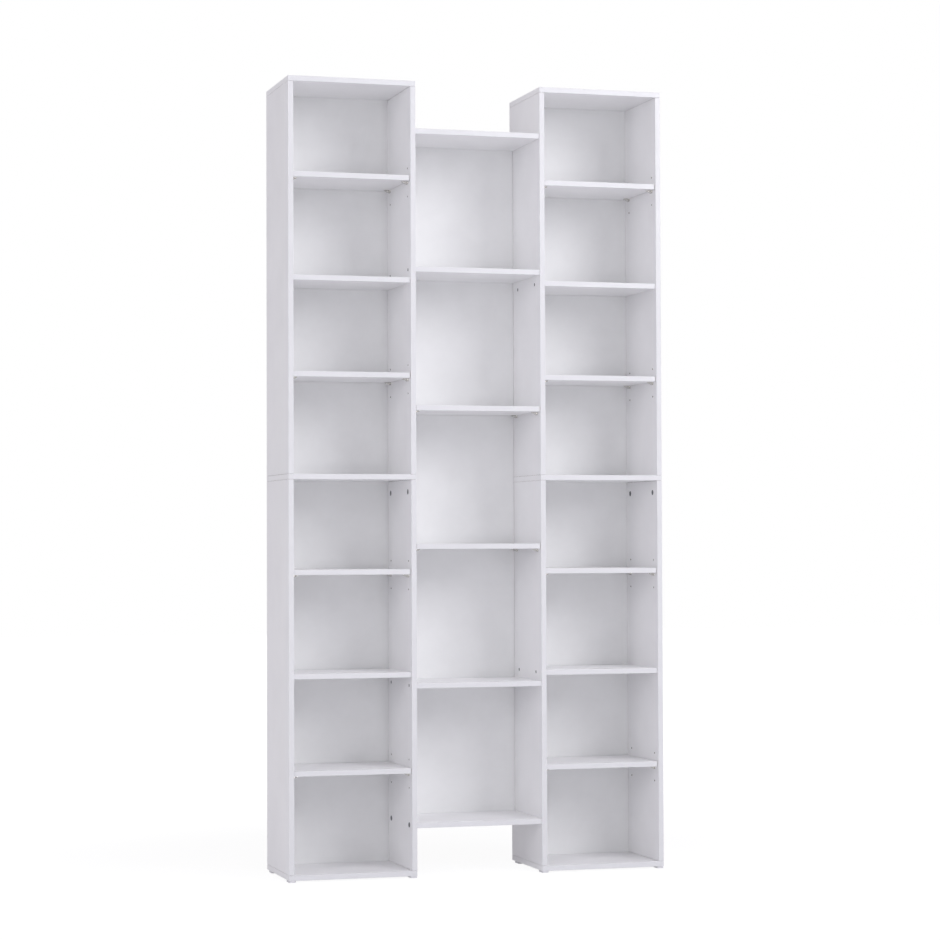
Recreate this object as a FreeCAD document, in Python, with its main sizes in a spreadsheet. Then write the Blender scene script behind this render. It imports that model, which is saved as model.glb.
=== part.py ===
import FreeCAD, Part
import math
import os
import re
from typing import NamedTuple

import Sketcher

# A bookshelf of two tall towers with a stack of shelves hung between them, in coated chipboard.
# Each tower is a lower and an upper pair of sides, capped by a bottom, a mid and a top panel.
# Millimetres, +Z up, front towards -Y, origin on the floor under the middle of the whole shelf.

SIZES = {
    # boards
    "board": 15,
    "side_length": 1100,
    "tower_width": 369,
    "bay_width": 369,
    "depth": 288,
    "shelf_setback": 5,
    "shelf_end_gap": 1,
    "shelf_rear_gap": 1,
    "centre_setback": 3,
    "centre_rear_setback": 32,
    "centre_end_inset": 133.75,
    # backs
    "back_thickness": 3,
    "back_setback": 26,
    "groove_depth": 5,
    "groove_gap": 0.2,
    "sheet_edge": 1,
    "sheet_seam": 0.5,
    # clearance round a fastener in its drilled hole
    "hole_gap": 0.1,
    # Rows of fixings: the front ones are measured from the front, the rear ones from the face of the back.
    # shelf pins and their rows of three holes
    "pin_diameter": 5,
    "pin_peg": 9,
    "pin_hole_depth": 10,
    "pin_front": 32,
    "pin_rear": 33,
    "pin_pitch": 40,
    "pin_row_offset": 280,
    "pin_rise": 2.5,
    "pin_plate": 2,
    "pin_reach": 17,
    "pin_width": 11,
    "pin_drop": 6,
    "pin_foot": 3,
    # screws
    "screw_diameter": 4.5,
    "screw_length": 50,
    "screw_head": 9,
    "screw_head_height": 2.5,
    "panel_screw_front": 62,
    "panel_screw_rear": 59,
    "shelf_screw_front": 52,
    "shelf_screw_rear": 47,
    # wooden dowels at the outer ends of the fixed shelves
    "dowel_diameter": 8,
    "dowel_in_wall": 10,
    "dowel_in_shelf": 20,
    # cam locks
    "cam_reach": 34,
    "cam_front": 38,
    "cam_rear": 31,
    "cam_diameter": 15,
    "cam_height": 12,
    "cam_eccentric": 0.6,
    "cam_chamber": 9.6,
    "cam_chamber_height": 7.4,
    "cam_slot": 4.4,
    "cam_driver_length": 7,
    "cam_driver_width": 1.5,
    "cam_driver_depth": 1.5,
    "bolt_thread_length": 11,
    "bolt_stem": 6,
    "bolt_neck": 3.6,
    "bolt_neck_length": 4,
    "bolt_head": 6.4,
    "bolt_head_length": 3,
    "bolt_head_past_middle": 0.5,
    "bolt_bore": 8,
    # fixings between the towers and the centre stack
    "centre_fixing_front": 30,
    "centre_fixing_rear": 28,
    "link_bolt": 6,
    "link_bolt_length": 58,
    "link_bolt_head": 14,
    "link_bolt_head_height": 1.5,
    "barrel_nut": 10,
    "barrel_nut_length": 12,
    "barrel_nut_reach": 35,
    # nails of the centre backs
    "nail_diameter": 1.8,
    "nail_length": 18,
    "nail_head": 4.5,
    "nail_head_height": 0.8,
    "nail_inset": 60,
    "nail_offset": 4,
    # feet
    "foot_height": 5,
    "foot_width": 20,
    "foot_length": 36,
    "foot_corner": 5,
    "foot_peg": 6,
    "foot_peg_length": 9,
    "foot_rear_inset": 24,
}

# Places and spans that follow from the sizes above.
WORKED_OUT = {
    "front": "-depth / 2",
    "back_face": "front + depth - back_setback - back_thickness",
    "shelf_front": "front + shelf_setback",
    "shelf_depth": "back_face - shelf_front - shelf_rear_gap",
    "centre_front": "front + centre_setback",
    "centre_rear": "front + depth - centre_rear_setback",
    "centre_depth": "centre_rear - centre_front",
    "half_bay": "bay_width / 2",
    "half_width": "half_bay + tower_width",
    "inside": "tower_width - 2 * board",
    "lower_base": "foot_height + board",
    "mid_base": "lower_base + side_length",
    "upper_base": "mid_base + board",
    "top_base": "upper_base + side_length",
    "middle": "(foot_height + top_base + board) / 2",
    "tongue": "groove_depth - groove_gap",
    "centre_span": "top_base - foot_height - 2 * centre_end_inset",
    "cam_middle": "board / 2",
    "neck_start": "cam_reach - bolt_head_past_middle - bolt_head_length - bolt_neck_length",
}

# Many small fasteners repeat, so their shanks, pegs and holes have few sides.
SHANK_SIDES = 6
HEAD_SIDES = 10
TURN = 360
FLAT = 1e-6

TOWERS = ("left", "right")
UNITS = ("upper", "lower")
WALLS = ("inner", "outer")
CENTRE_BOARDS = ("top_panel", "shelf_1", "shelf_2", "shelf_3", "shelf_4", "bottom_panel")
CENTRE_LOOSE = ("shelf_2", "shelf_3")
CENTRE_SCREWED = ("shelf_1", "shelf_4")

doc = FreeCAD.newDocument("bookshelf")
subparts = []


def formula(text):
    """Spell a formula out in cells of the size sheet."""

    def spell(match):
        word = match.group()
        if word in SIZES:
            return f"size.{word}"
        if word in WORKED_OUT:
            return f"({formula(WORKED_OUT[word])})"
        return word

    return re.sub("[a-z_]+", spell, text)


def bind(item, prop, text):
    """Tie a property of an item to a formula of the sizes."""
    item.setExpression(prop, formula(text))


def add_size_sheet():
    """Write the driving sizes to a sheet, one named cell each."""
    sheet = doc.addObject("Spreadsheet::Sheet", "size")
    for row, (name, value) in enumerate(SIZES.items(), 1):
        sheet.set(f"A{row}", name)
        sheet.set(f"B{row}", str(value))
        sheet.setAlias(f"B{row}", name)
    doc.recompute()


def keep(item, node):
    """Name an item as one sub-part of the bookshelf."""
    item.Label = node
    subparts.append(item)
    return item


# Turns: each takes a fastener's own +Z, the way it is driven, and its own +X to directions of the shelf.
RIGHT = FreeCAD.Vector(1, 0, 0)
BACK = FreeCAD.Vector(0, 1, 0)
UP = FreeCAD.Vector(0, 0, 1)


def turned(driven, side):
    """The rotation that drives along one direction with the fastener's own +X along another."""
    return FreeCAD.Rotation(side, driven.cross(side), driven, "ZXY")


WAYS = {
    "up": turned(UP, RIGHT),
    "down": turned(-UP, RIGHT),
    "down_mirrored": turned(-UP, -RIGHT),
    "right": turned(RIGHT, UP),
    "left": turned(-RIGHT, UP),
    "front": turned(-BACK, UP),
}


class Place(NamedTuple):
    """Where a fastener sits and which way it is driven, as formulas of the sizes."""

    x: str
    y: str
    z: str
    way: str


def copies(name, piece, places):
    """Link one piece to all its places, and gather the copies in one group."""
    links = []
    for place in places:
        link = doc.addObject("App::Link", f"{name}_copy")
        link.LinkedObject = piece
        link.LinkTransform = True
        link.Placement = FreeCAD.Placement(FreeCAD.Vector(), WAYS[place.way])
        for axis in "xyz":
            bind(link, f"Placement.Base.{axis}", getattr(place, axis))
        links.append(link)
    group = doc.addObject("Part::Compound", name)
    group.Links = links
    return group


def add_box(name, low, span):
    """A box from its low corner and its span along X, Y and Z."""
    box = doc.addObject("Part::Box", name)
    for axis, text in zip("xyz", low):
        bind(box, f"Placement.Base.{axis}", text)
    for prop, text in zip(("Length", "Width", "Height"), span):
        bind(box, prop, text)
    return box


def add_prism(name, sides, diameter, start, length):
    """A many-sided bar about Z, inscribed in its diameter."""
    prism = doc.addObject("Part::Prism", name)
    prism.Polygon = sides
    bind(prism, "Circumradius", f"({diameter}) / 2")
    bind(prism, "Height", length)
    bind(prism, "Placement.Base.z", start)
    return prism


def fuse(name, items):
    """Join items that make one piece."""
    joined = doc.addObject("Part::MultiFuse", name)
    joined.Shapes = items
    return joined


def cut(base, tool):
    """Cut a tool out of a base."""
    result = doc.addObject("Part::Cut", f"{base.Name}_cut")
    result.Base = base
    result.Tool = tool
    return result


def machined(node, blank, passes):
    """Cut a board blank in one pass after another, and keep it as a sub-part.

    Each pass is a list of tools that don't meet: boxes for grooves, and groups of drill bits.
    """
    board = blank
    for number, tools in enumerate(passes, 1):
        group = doc.addObject("Part::Compound", f"{node}_tools_{number}")
        group.Links = tools
        board = cut(board, group)
    return keep(board, node)


def drilled(node, drillings):
    """Groups of drill bits, from pairs of a bit and the places where it goes in."""
    return [copies(f"{node}_holes", bit, places) for bit, places in drillings if places]


# Sketched pieces

def add_sketch(body, name, role, lift):
    """A sketch on one of a body's own planes, lifted along the plane's normal."""
    sketch = body.newObject("Sketcher::SketchObject", name)
    plane = next(item for item in body.Origin.OriginFeatures if item.Role == role)
    sketch.AttachmentSupport = [(plane, "")]
    sketch.MapMode = "FlatFace"
    bind(sketch, "AttachmentOffset.Base.z", lift)
    return sketch


def add_outline(sketch, points):
    """A closed outline through points that are given as pairs of formulas."""
    first = sketch.GeometryCount
    count = len(points)
    corners = []
    for index in range(count):
        angle = TURN * index / count
        corners.append(FreeCAD.Rotation(UP, angle).multVec(RIGHT))
    for index in range(count):
        sketch.addGeometry(Part.LineSegment(corners[index], corners[(index + 1) % count]), False)
    for index in range(count):
        line = first + index
        following = first + (index + 1) % count
        sketch.addConstraint(Sketcher.Constraint("Coincident", line, 2, following, 1))
        for kind, text, value in zip(("DistanceX", "DistanceY"), points[index], corners[index]):
            row = sketch.addConstraint(Sketcher.Constraint(kind, -1, 1, line, 1, value))
            bind(sketch, f"Constraints[{row}]", text)


def add_rectangle(sketch, left, bottom, right, top):
    """A rectangle between four formulas, as a closed outline."""
    add_outline(sketch, [(left, bottom), (right, bottom), (right, top), (left, top)])


def add_polygon(sketch, sides, diameter):
    """A regular outline about the sketch's own origin, inscribed in its diameter."""
    corners = []
    for index in range(sides):
        angle = TURN * index / sides
        corners.append((f"({diameter}) / 2 * cos({angle})", f"({diameter}) / 2 * sin({angle})"))
    add_outline(sketch, corners)


def add_pad(body, sketch, length):
    """Raise a sketch along its normal."""
    pad = body.newObject("PartDesign::Pad", f"{sketch.Name}_pad")
    pad.Profile = sketch
    bind(pad, "Length", length)
    return pad


def add_pocket(body, sketch, depth, along_normal):
    """Sink a sketch into the body, along its normal or against it."""
    pocket = body.newObject("PartDesign::Pocket", f"{sketch.Name}_pocket")
    pocket.Profile = sketch
    pocket.Reversed = along_normal
    bind(pocket, "Length", depth)
    return pocket


def taper_sides(body, pad, angle):
    """Lean the sides of a pad in by an angle, from its lower face up."""
    doc.recompute()
    sides = []
    for number, face in enumerate(pad.Shape.Faces, 1):
        rise = face.normalAt(0, 0).dot(UP)
        if math.isclose(rise, 0, abs_tol=FLAT):
            sides.append(f"Face{number}")
        elif rise < 0:
            lower = f"Face{number}"
    draft = body.newObject("PartDesign::Draft", f"{pad.Name}_taper")
    draft.Base = (pad, sides)
    draft.NeutralPlane = (pad, [lower])
    bind(draft, "Angle", angle)
    return draft


def make_shelf_pin():
    """A plug-in pin: a peg for the hole, and a spoon on a gusset that the shelf lies on."""
    body = doc.addObject("PartDesign::Body", "shelf_pin")
    spoon = add_sketch(body, "pin_spoon", "XZ_Plane", "-pin_width / 2")
    add_outline(
        spoon,
        [
            ("pin_rise", "0"),
            ("-pin_drop", "0"),
            ("-pin_drop", "-pin_foot"),
            ("pin_rise - pin_plate", "-pin_reach"),
            ("pin_rise", "-pin_reach"),
        ],
    )
    add_pad(body, spoon, "pin_width")
    peg = add_sketch(body, "pin_peg_section", "XY_Plane", "0")
    add_polygon(peg, SHANK_SIDES, "pin_diameter")
    add_pad(body, peg, "pin_peg")
    return body


def make_cam_disc():
    """An eccentric cam: a drum with a half-turn slot for the bolt's neck and a chamber that draws its head.

    Its own +Z goes into the board, and the bolt comes in from its own +X.
    """
    body = doc.addObject("PartDesign::Body", "cam_disc")
    drum = add_sketch(body, "cam_drum", "XY_Plane", "0")
    add_polygon(drum, HEAD_SIDES, "cam_diameter - 2 * hole_gap")
    add_pad(body, drum, "cam_height")
    slot = add_sketch(body, "cam_neck_slot", "XY_Plane", "cam_middle + cam_slot / 2")
    add_rectangle(slot, "0", "-cam_diameter / 2", "cam_diameter / 2", "cam_diameter / 2")
    add_pocket(body, slot, "cam_slot", False)
    chamber = add_sketch(body, "cam_head_chamber", "XY_Plane", "cam_middle + cam_chamber_height / 2")
    add_polygon(chamber, SHANK_SIDES, "cam_chamber")
    bind(chamber, "AttachmentOffset.Base.x", "cam_eccentric")
    add_pocket(body, chamber, "cam_chamber_height", False)
    driver = add_sketch(body, "cam_driver", "XY_Plane", "0")
    half_x = "cam_driver_length / 2"
    half_y = "cam_driver_width / 2"
    add_rectangle(driver, f"-{half_x}", f"-{half_y}", half_x, half_y)
    add_pocket(body, driver, "cam_driver_depth", True)
    return body


def make_foot():
    """A low pad with a peg that pushes into the bottom panel. Its own +Z goes up into the panel."""
    body = doc.addObject("PartDesign::Body", "foot_pad")
    pad = add_sketch(body, "foot_outline", "XY_Plane", "-foot_height")
    half_x = "foot_width / 2"
    half_y = "foot_length / 2"
    corners = []
    for sign_x, sign_y in ((1, 1), (-1, 1), (-1, -1), (1, -1)):
        side = (f"{sign_x} * {half_x}", f"{sign_y} * ({half_y} - foot_corner)")
        end = (f"{sign_x} * ({half_x} - foot_corner)", f"{sign_y} * {half_y}")
        corners += [side, end] if sign_x == sign_y else [end, side]
    add_outline(pad, corners)
    add_pad(body, pad, "foot_height")
    peg = add_prism("foot_peg_bar", SHANK_SIDES, "foot_peg", "0", "foot_peg_length")
    return fuse("foot", [body, peg])


# Fasteners, and the bits that drill their holes

def make_countersunk(name, kind, gap):
    """A countersunk fastener about +Z, flush with the surface, or with a gap all round, its drill bit."""
    body = doc.addObject("PartDesign::Body", name)
    rim = add_sketch(body, f"{name}_rim", "XY_Plane", "0")
    add_polygon(rim, SHANK_SIDES, f"{kind}_head + 2 * {gap}")
    head = add_pad(body, rim, f"{kind}_head_height")
    flat_share = f"cos({TURN / 2 / SHANK_SIDES})"
    taper_sides(body, head, f"atan(({kind}_head - {kind}_diameter) / 2 * {flat_share} / {kind}_head_height)")
    section = add_sketch(body, f"{name}_section", "XY_Plane", f"{kind}_head_height")
    add_polygon(section, SHANK_SIDES, f"{kind}_diameter + 2 * {gap}")
    add_pad(body, section, f"{kind}_length - {kind}_head_height + {gap}")
    return body


def make_cam_bolt():
    """A cam bolt: its thread goes up into one panel, its neck and head down into the cam of another."""
    stem_length = "neck_start + bolt_thread_length"
    stem = add_prism("bolt_stem_bar", SHANK_SIDES, "bolt_stem", "-neck_start", stem_length)
    neck_end = "-neck_start - bolt_neck_length"
    neck = add_prism("bolt_neck_bar", SHANK_SIDES, "bolt_neck", neck_end, "bolt_neck_length")
    head = add_prism(
        "bolt_head_bar", SHANK_SIDES, "bolt_head", f"{neck_end} - bolt_head_length", "bolt_head_length"
    )
    return fuse("cam_bolt", [stem, neck, head])


def make_link_bolt():
    """A flat-headed bolt whose head lies on the surface."""
    shank = add_prism("link_bolt_shank", SHANK_SIDES, "link_bolt", "0", "link_bolt_length")
    head = add_prism(
        "link_bolt_cap", HEAD_SIDES, "link_bolt_head", "-link_bolt_head_height", "link_bolt_head_height"
    )
    return fuse("link_bolt_piece", [shank, head])


def make_barrel_nut():
    """A cross nut, upright in its hole, with the way through for its bolt along X."""
    drum = add_prism("nut_drum", SHANK_SIDES, "barrel_nut", "0", "barrel_nut_length")
    way = add_prism("nut_way", SHANK_SIDES, "link_bolt + 2 * hole_gap", "-barrel_nut", "2 * barrel_nut")
    across = copies("nut_way_across", way, [Place("0", "0", "board / 2", "right")])
    return cut(drum, across)


add_size_sheet()
shelf_pin = make_shelf_pin()
cam_disc = make_cam_disc()
foot = make_foot()
screw = make_countersunk("screw", "screw", "0")
nail = make_countersunk("nail", "nail", "0")
cam_bolt = make_cam_bolt()
link_bolt = make_link_bolt()
barrel_nut = make_barrel_nut()
dowel = add_prism(
    "dowel", SHANK_SIDES, "dowel_diameter", "-dowel_in_wall", "dowel_in_wall + dowel_in_shelf"
)

screw_bit = make_countersunk("screw_bit", "screw", "hole_gap")
nail_bit = make_countersunk("nail_bit", "nail", "hole_gap")
pin_bit = add_prism("pin_bit", SHANK_SIDES, "pin_diameter + 2 * hole_gap", "0", "pin_hole_depth")
dowel_bit = add_prism(
    "dowel_bit",
    SHANK_SIDES,
    "dowel_diameter + 2 * hole_gap",
    "-dowel_in_wall - hole_gap",
    "dowel_in_wall + dowel_in_shelf + 2 * hole_gap",
)
cam_bit = add_prism("cam_bit", HEAD_SIDES, "cam_diameter", "0", "cam_height + hole_gap")
thread_bit = add_prism(
    "thread_bit", SHANK_SIDES, "bolt_stem + 2 * hole_gap", "0", "bolt_thread_length + hole_gap"
)
bore_bit = add_prism("bore_bit", SHANK_SIDES, "bolt_bore", "-cam_reach", "cam_reach")
link_bit = add_prism(
    "link_bit", SHANK_SIDES, "link_bolt + 2 * hole_gap", "0", "link_bolt_length + hole_gap"
)
nut_bit = add_prism(
    "nut_bit", SHANK_SIDES, "barrel_nut + 2 * hole_gap", "0", "barrel_nut_length + hole_gap"
)
peg_bit = add_prism(
    "peg_bit", SHANK_SIDES, "foot_peg + 2 * hole_gap", "0", "foot_peg_length + hole_gap"
)


# Places along Y of a front and a rear row.
PIN_ROWS = ("front + pin_front", "back_face - pin_rear")
PANEL_SCREW_ROWS = ("front + panel_screw_front", "back_face - panel_screw_rear")
SHELF_SCREW_ROWS = ("front + shelf_screw_front", "back_face - shelf_screw_rear")
CAM_ROWS = ("front + cam_front", "back_face - cam_rear")
FIXING_ROWS = ("front + centre_fixing_front", "centre_rear - centre_fixing_rear")


def centre_level(index):
    """The middle height of one board of the centre stack, counted from the top."""
    bays = len(CENTRE_BOARDS) - 1
    return f"middle + ({bays / 2 - index}) * (centre_span) / {bays}"


CENTRE_LEVELS = {board: centre_level(index) for index, board in enumerate(CENTRE_BOARDS)}
CENTRE_PIN_LEVELS = [f"{CENTRE_LEVELS[board]} - board / 2 - pin_rise" for board in CENTRE_LOOSE]


class Tower:
    """One tower. Its places along X are given as distances from the middle of the whole bookshelf."""

    def __init__(self, side):
        self.side = side
        self.outward = side
        self.inward = "left" if side == "right" else "right"
        self.into_wall = {"inner": self.inward, "outer": self.outward}
        self.wall_start = {"inner": "half_bay", "outer": "half_width - board"}
        self.inside_face = {"inner": "half_bay + board", "outer": "half_width - board"}
        self.unit_base = {"upper": "upper_base", "lower": "lower_base"}

    def node(self, name):
        """The name of one of this tower's pieces."""
        return f"{self.side}_{name}"

    def at(self, distance):
        """The X of a point at a distance from the middle."""
        return distance if self.side == "right" else f"-({distance})"

    def box(self, name, start, low, span):
        """A box of this tower that starts at a distance from the middle."""
        low_x = start if self.side == "right" else f"-({start}) - ({span[0]})"
        return add_box(self.node(name), (low_x, *low), span)

    def groove(self, name, start, width, low_z, height):
        """A box that cuts the groove of a back into a board."""
        low = ("back_face - groove_gap", low_z)
        return self.box(name, start, low, (width, "back_thickness + 2 * groove_gap", height))

    # Places of the fasteners

    def panel_screws(self, panel, wall):
        """Screws through one panel into the end of one wall."""
        level, way = {
            "top": ("top_base + board", "down"),
            "mid": ("mid_base", "up"),
            "bottom": ("foot_height", "up"),
        }[panel]
        x = self.at(f"{self.wall_start[wall]} + board / 2")
        return [Place(x, y, level, way) for y in PANEL_SCREW_ROWS]

    def cam_bolts(self, wall):
        """Bolts that hang from the mid panel into the end of one lower wall."""
        x = self.at(f"{self.wall_start[wall]} + board / 2")
        return [Place(x, y, "mid_base", "up") for y in CAM_ROWS]

    def cam_discs(self, wall):
        """Cams in the inside face of one lower wall."""
        x = self.at(self.inside_face[wall])
        return [Place(x, y, "mid_base - cam_reach", self.into_wall[wall]) for y in CAM_ROWS]

    def pin_holes(self, unit, wall, steps):
        """Shelf pin holes in one wall: steps of the pitch above and below each row's middle hole."""
        x = self.at(self.inside_face[wall])
        places = []
        for row in ("+ pin_row_offset", "- pin_row_offset"):
            for step in steps:
                z = f"{self.unit_base[unit]} + side_length / 2 {row} + ({step}) * pin_pitch"
                places += [Place(x, y, z, self.into_wall[wall]) for y in PIN_ROWS]
        return places

    def shelf_screws(self, unit):
        """Screws through the inner wall into the fixed shelf, driven from the centre bay."""
        z = f"{self.unit_base[unit]} + side_length / 2"
        return [Place(self.at("half_bay"), y, z, self.outward) for y in SHELF_SCREW_ROWS]

    def dowels(self, unit):
        """Dowels between the outer wall and the fixed shelf."""
        z = f"{self.unit_base[unit]} + side_length / 2"
        return [Place(self.at("half_width - board"), y, z, self.inward) for y in SHELF_SCREW_ROWS]

    def centre_screws(self, board):
        """Screws through the inner wall into one centre shelf, driven from inside the tower."""
        x = self.at("half_bay + board")
        return [Place(x, y, CENTRE_LEVELS[board], self.inward) for y in FIXING_ROWS]

    def centre_pins(self):
        """Pins in the outside of the inner wall, under the loose centre shelves."""
        x = self.at("half_bay")
        return [Place(x, y, z, self.outward) for z in CENTRE_PIN_LEVELS for y in PIN_ROWS]

    def centre_cam_bolts(self):
        """Bolts that stand out of the inner wall into the end of the centre top panel."""
        x = self.at("half_bay")
        return [Place(x, y, CENTRE_LEVELS["top_panel"], self.outward) for y in FIXING_ROWS]

    def centre_cam_discs(self):
        """Cams in the upper face of the centre top panel."""
        x = self.at("half_bay - cam_reach")
        z = f"{CENTRE_LEVELS['top_panel']} + board / 2"
        way = "down" if self.side == "right" else "down_mirrored"
        return [Place(x, y, z, way) for y in FIXING_ROWS]

    def link_bolts(self):
        """Bolts through the inner wall into the end of the centre bottom panel."""
        x = self.at("half_bay + board")
        return [Place(x, y, CENTRE_LEVELS["bottom_panel"], self.inward) for y in FIXING_ROWS]

    def barrel_nuts(self):
        """Cross nuts in the underside of the centre bottom panel."""
        x = self.at("half_bay - barrel_nut_reach")
        z = f"{CENTRE_LEVELS['bottom_panel']} - board / 2"
        return [Place(x, y, z, "up") for y in FIXING_ROWS]

    def feet(self):
        """Feet under the four corners."""
        rear = "front + depth - foot_rear_inset - foot_length / 2"
        places = []
        for distance in ("half_bay + foot_width / 2", "half_width - foot_width / 2"):
            for y in ("front + foot_length / 2", rear):
                places.append(Place(self.at(distance), y, "foot_height", "up"))
        return places

    # Boards

    def build_panels(self):
        """The bottom, mid and top panels, which cover the ends of the walls."""
        start = "half_bay + board - groove_depth"
        width = "inside + 2 * groove_depth"
        levels = {"top": "top_base", "mid": "mid_base", "bottom": "foot_height"}
        span = ("tower_width", "depth", "board")
        for panel, level in levels.items():
            blank = self.box(f"{panel}_blank", "half_bay", ("front", level), span)
            grooves = []
            if panel != "bottom":
                grooves.append(self.groove(f"{panel}_groove_under", start, width, level, "groove_depth"))
            if panel != "top":
                low_z = f"{level} + board - groove_depth"
                grooves.append(self.groove(f"{panel}_groove_above", start, width, low_z, "groove_depth"))
            screws = [place for wall in WALLS for place in self.panel_screws(panel, wall)]
            drillings = [(screw_bit, screws)]
            if panel == "mid":
                bolts = [place for wall in WALLS for place in self.cam_bolts(wall)]
                drillings.append((thread_bit, bolts))
            if panel == "bottom":
                drillings.append((peg_bit, self.feet()))
            node = self.node(f"{panel}_panel")
            machined(node, blank, [grooves + drilled(node, drillings)])

    def build_wall(self, unit, wall):
        """One side board, with the groove of the back, the pin holes and the holes of its joints."""
        base = self.unit_base[unit]
        span = ("board", "depth", "side_length")
        blank = self.box(f"{unit}_{wall}_blank", self.wall_start[wall], ("front", base), span)
        starts = {"inner": "half_bay + board - groove_depth", "outer": "half_width - board"}
        groove = self.groove(f"{unit}_{wall}_groove", starts[wall], "groove_depth", base, "side_length")
        drillings = [(pin_bit, self.pin_holes(unit, wall, (-1, 0, 1)))]
        ends = ("top", "mid") if unit == "upper" else ("bottom",)
        drillings.append((screw_bit, [place for end in ends for place in self.panel_screws(end, wall)]))
        if wall == "outer":
            drillings.append((dowel_bit, self.dowels(unit)))
        else:
            drillings += self.inner_wall_drillings(unit)
        node = self.node(f"{unit}_{wall}_side")
        passes = [[groove]]
        if unit == "lower":
            drillings.append((bore_bit, self.cam_bolts(wall)))
            passes.append(drilled(node, [(cam_bit, self.cam_discs(wall))]))
        passes[0] += drilled(node, drillings)
        machined(node, blank, passes)

    def inner_wall_drillings(self, unit):
        """The holes of an inner wall that hold its own fixed shelf and the centre stack."""
        pins = self.centre_pins()
        half = len(pins) // 2
        drillings = [(screw_bit, self.shelf_screws(unit))]
        if unit == "upper":
            drillings.append((screw_bit, self.centre_screws("shelf_1")))
            drillings.append((pin_bit, pins[:half]))
            drillings.append((thread_bit, self.centre_cam_bolts()))
        else:
            drillings.append((screw_bit, self.centre_screws("shelf_4")))
            drillings.append((pin_bit, pins[half:]))
            drillings.append((link_bit, self.link_bolts()))
        return drillings

    def build_shelves(self):
        """The fixed shelf at the middle of each unit, and the loose shelves on pins above and below it."""
        number = 0
        for unit in UNITS:
            base = self.unit_base[unit]
            low = ("shelf_front", f"{base} + side_length / 2 - board / 2")
            span = ("inside", "shelf_depth", "board")
            blank = self.box(f"{unit}_fixed_blank", "half_bay + board", low, span)
            node = self.node(f"{unit}_fixed_shelf")
            drillings = [(screw_bit, self.shelf_screws(unit)), (dowel_bit, self.dowels(unit))]
            machined(node, blank, [drilled(node, drillings)])
            for row in ("+ pin_row_offset", "- pin_row_offset"):
                number += 1
                level = f"{base} + side_length / 2 {row} + pin_rise"
                start = "half_bay + board + shelf_end_gap"
                span = ("inside - 2 * shelf_end_gap", "shelf_depth", "board")
                shelf = self.box(f"loose_{number}", start, ("shelf_front", level), span)
                keep(shelf, self.node(f"loose_shelf_{number}"))

    def build_backs(self):
        """The two hardboard backs, whose edges sit in the grooves."""
        for unit in UNITS:
            low = ("back_face", f"{self.unit_base[unit]} - tongue")
            span = ("inside + 2 * tongue", "back_thickness", "side_length + 2 * tongue")
            back = self.box(f"{unit}_sheet", "half_bay + board - tongue", low, span)
            keep(back, self.node(f"{unit}_back"))

    def build_fasteners(self):
        """All the loose fasteners of this tower, one group for each kind."""
        pins = [place for unit in UNITS for wall in WALLS for place in self.pin_holes(unit, wall, (0,))]
        panel_screws = []
        for panel in ("top", "mid", "bottom"):
            panel_screws += [place for wall in WALLS for place in self.panel_screws(panel, wall)]
        shelf_screws = [place for unit in UNITS for place in self.shelf_screws(unit)]
        shelf_screws += [place for board in CENTRE_SCREWED for place in self.centre_screws(board)]
        groups = {
            "shelf_pins": (shelf_pin, pins),
            "panel_screws": (screw, panel_screws),
            "shelf_screws": (screw, shelf_screws),
            "dowels": (dowel, [place for unit in UNITS for place in self.dowels(unit)]),
            "cam_discs": (cam_disc, [place for wall in WALLS for place in self.cam_discs(wall)]),
            "cam_bolts": (cam_bolt, [place for wall in WALLS for place in self.cam_bolts(wall)]),
            "feet": (foot, self.feet()),
        }
        for name, (piece, places) in groups.items():
            keep(copies(self.node(f"{name}_group"), piece, places), self.node(name))

    def build(self):
        """All the pieces of the tower."""
        self.build_panels()
        for unit in UNITS:
            for wall in WALLS:
                self.build_wall(unit, wall)
        self.build_shelves()
        self.build_backs()
        self.build_fasteners()


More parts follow.
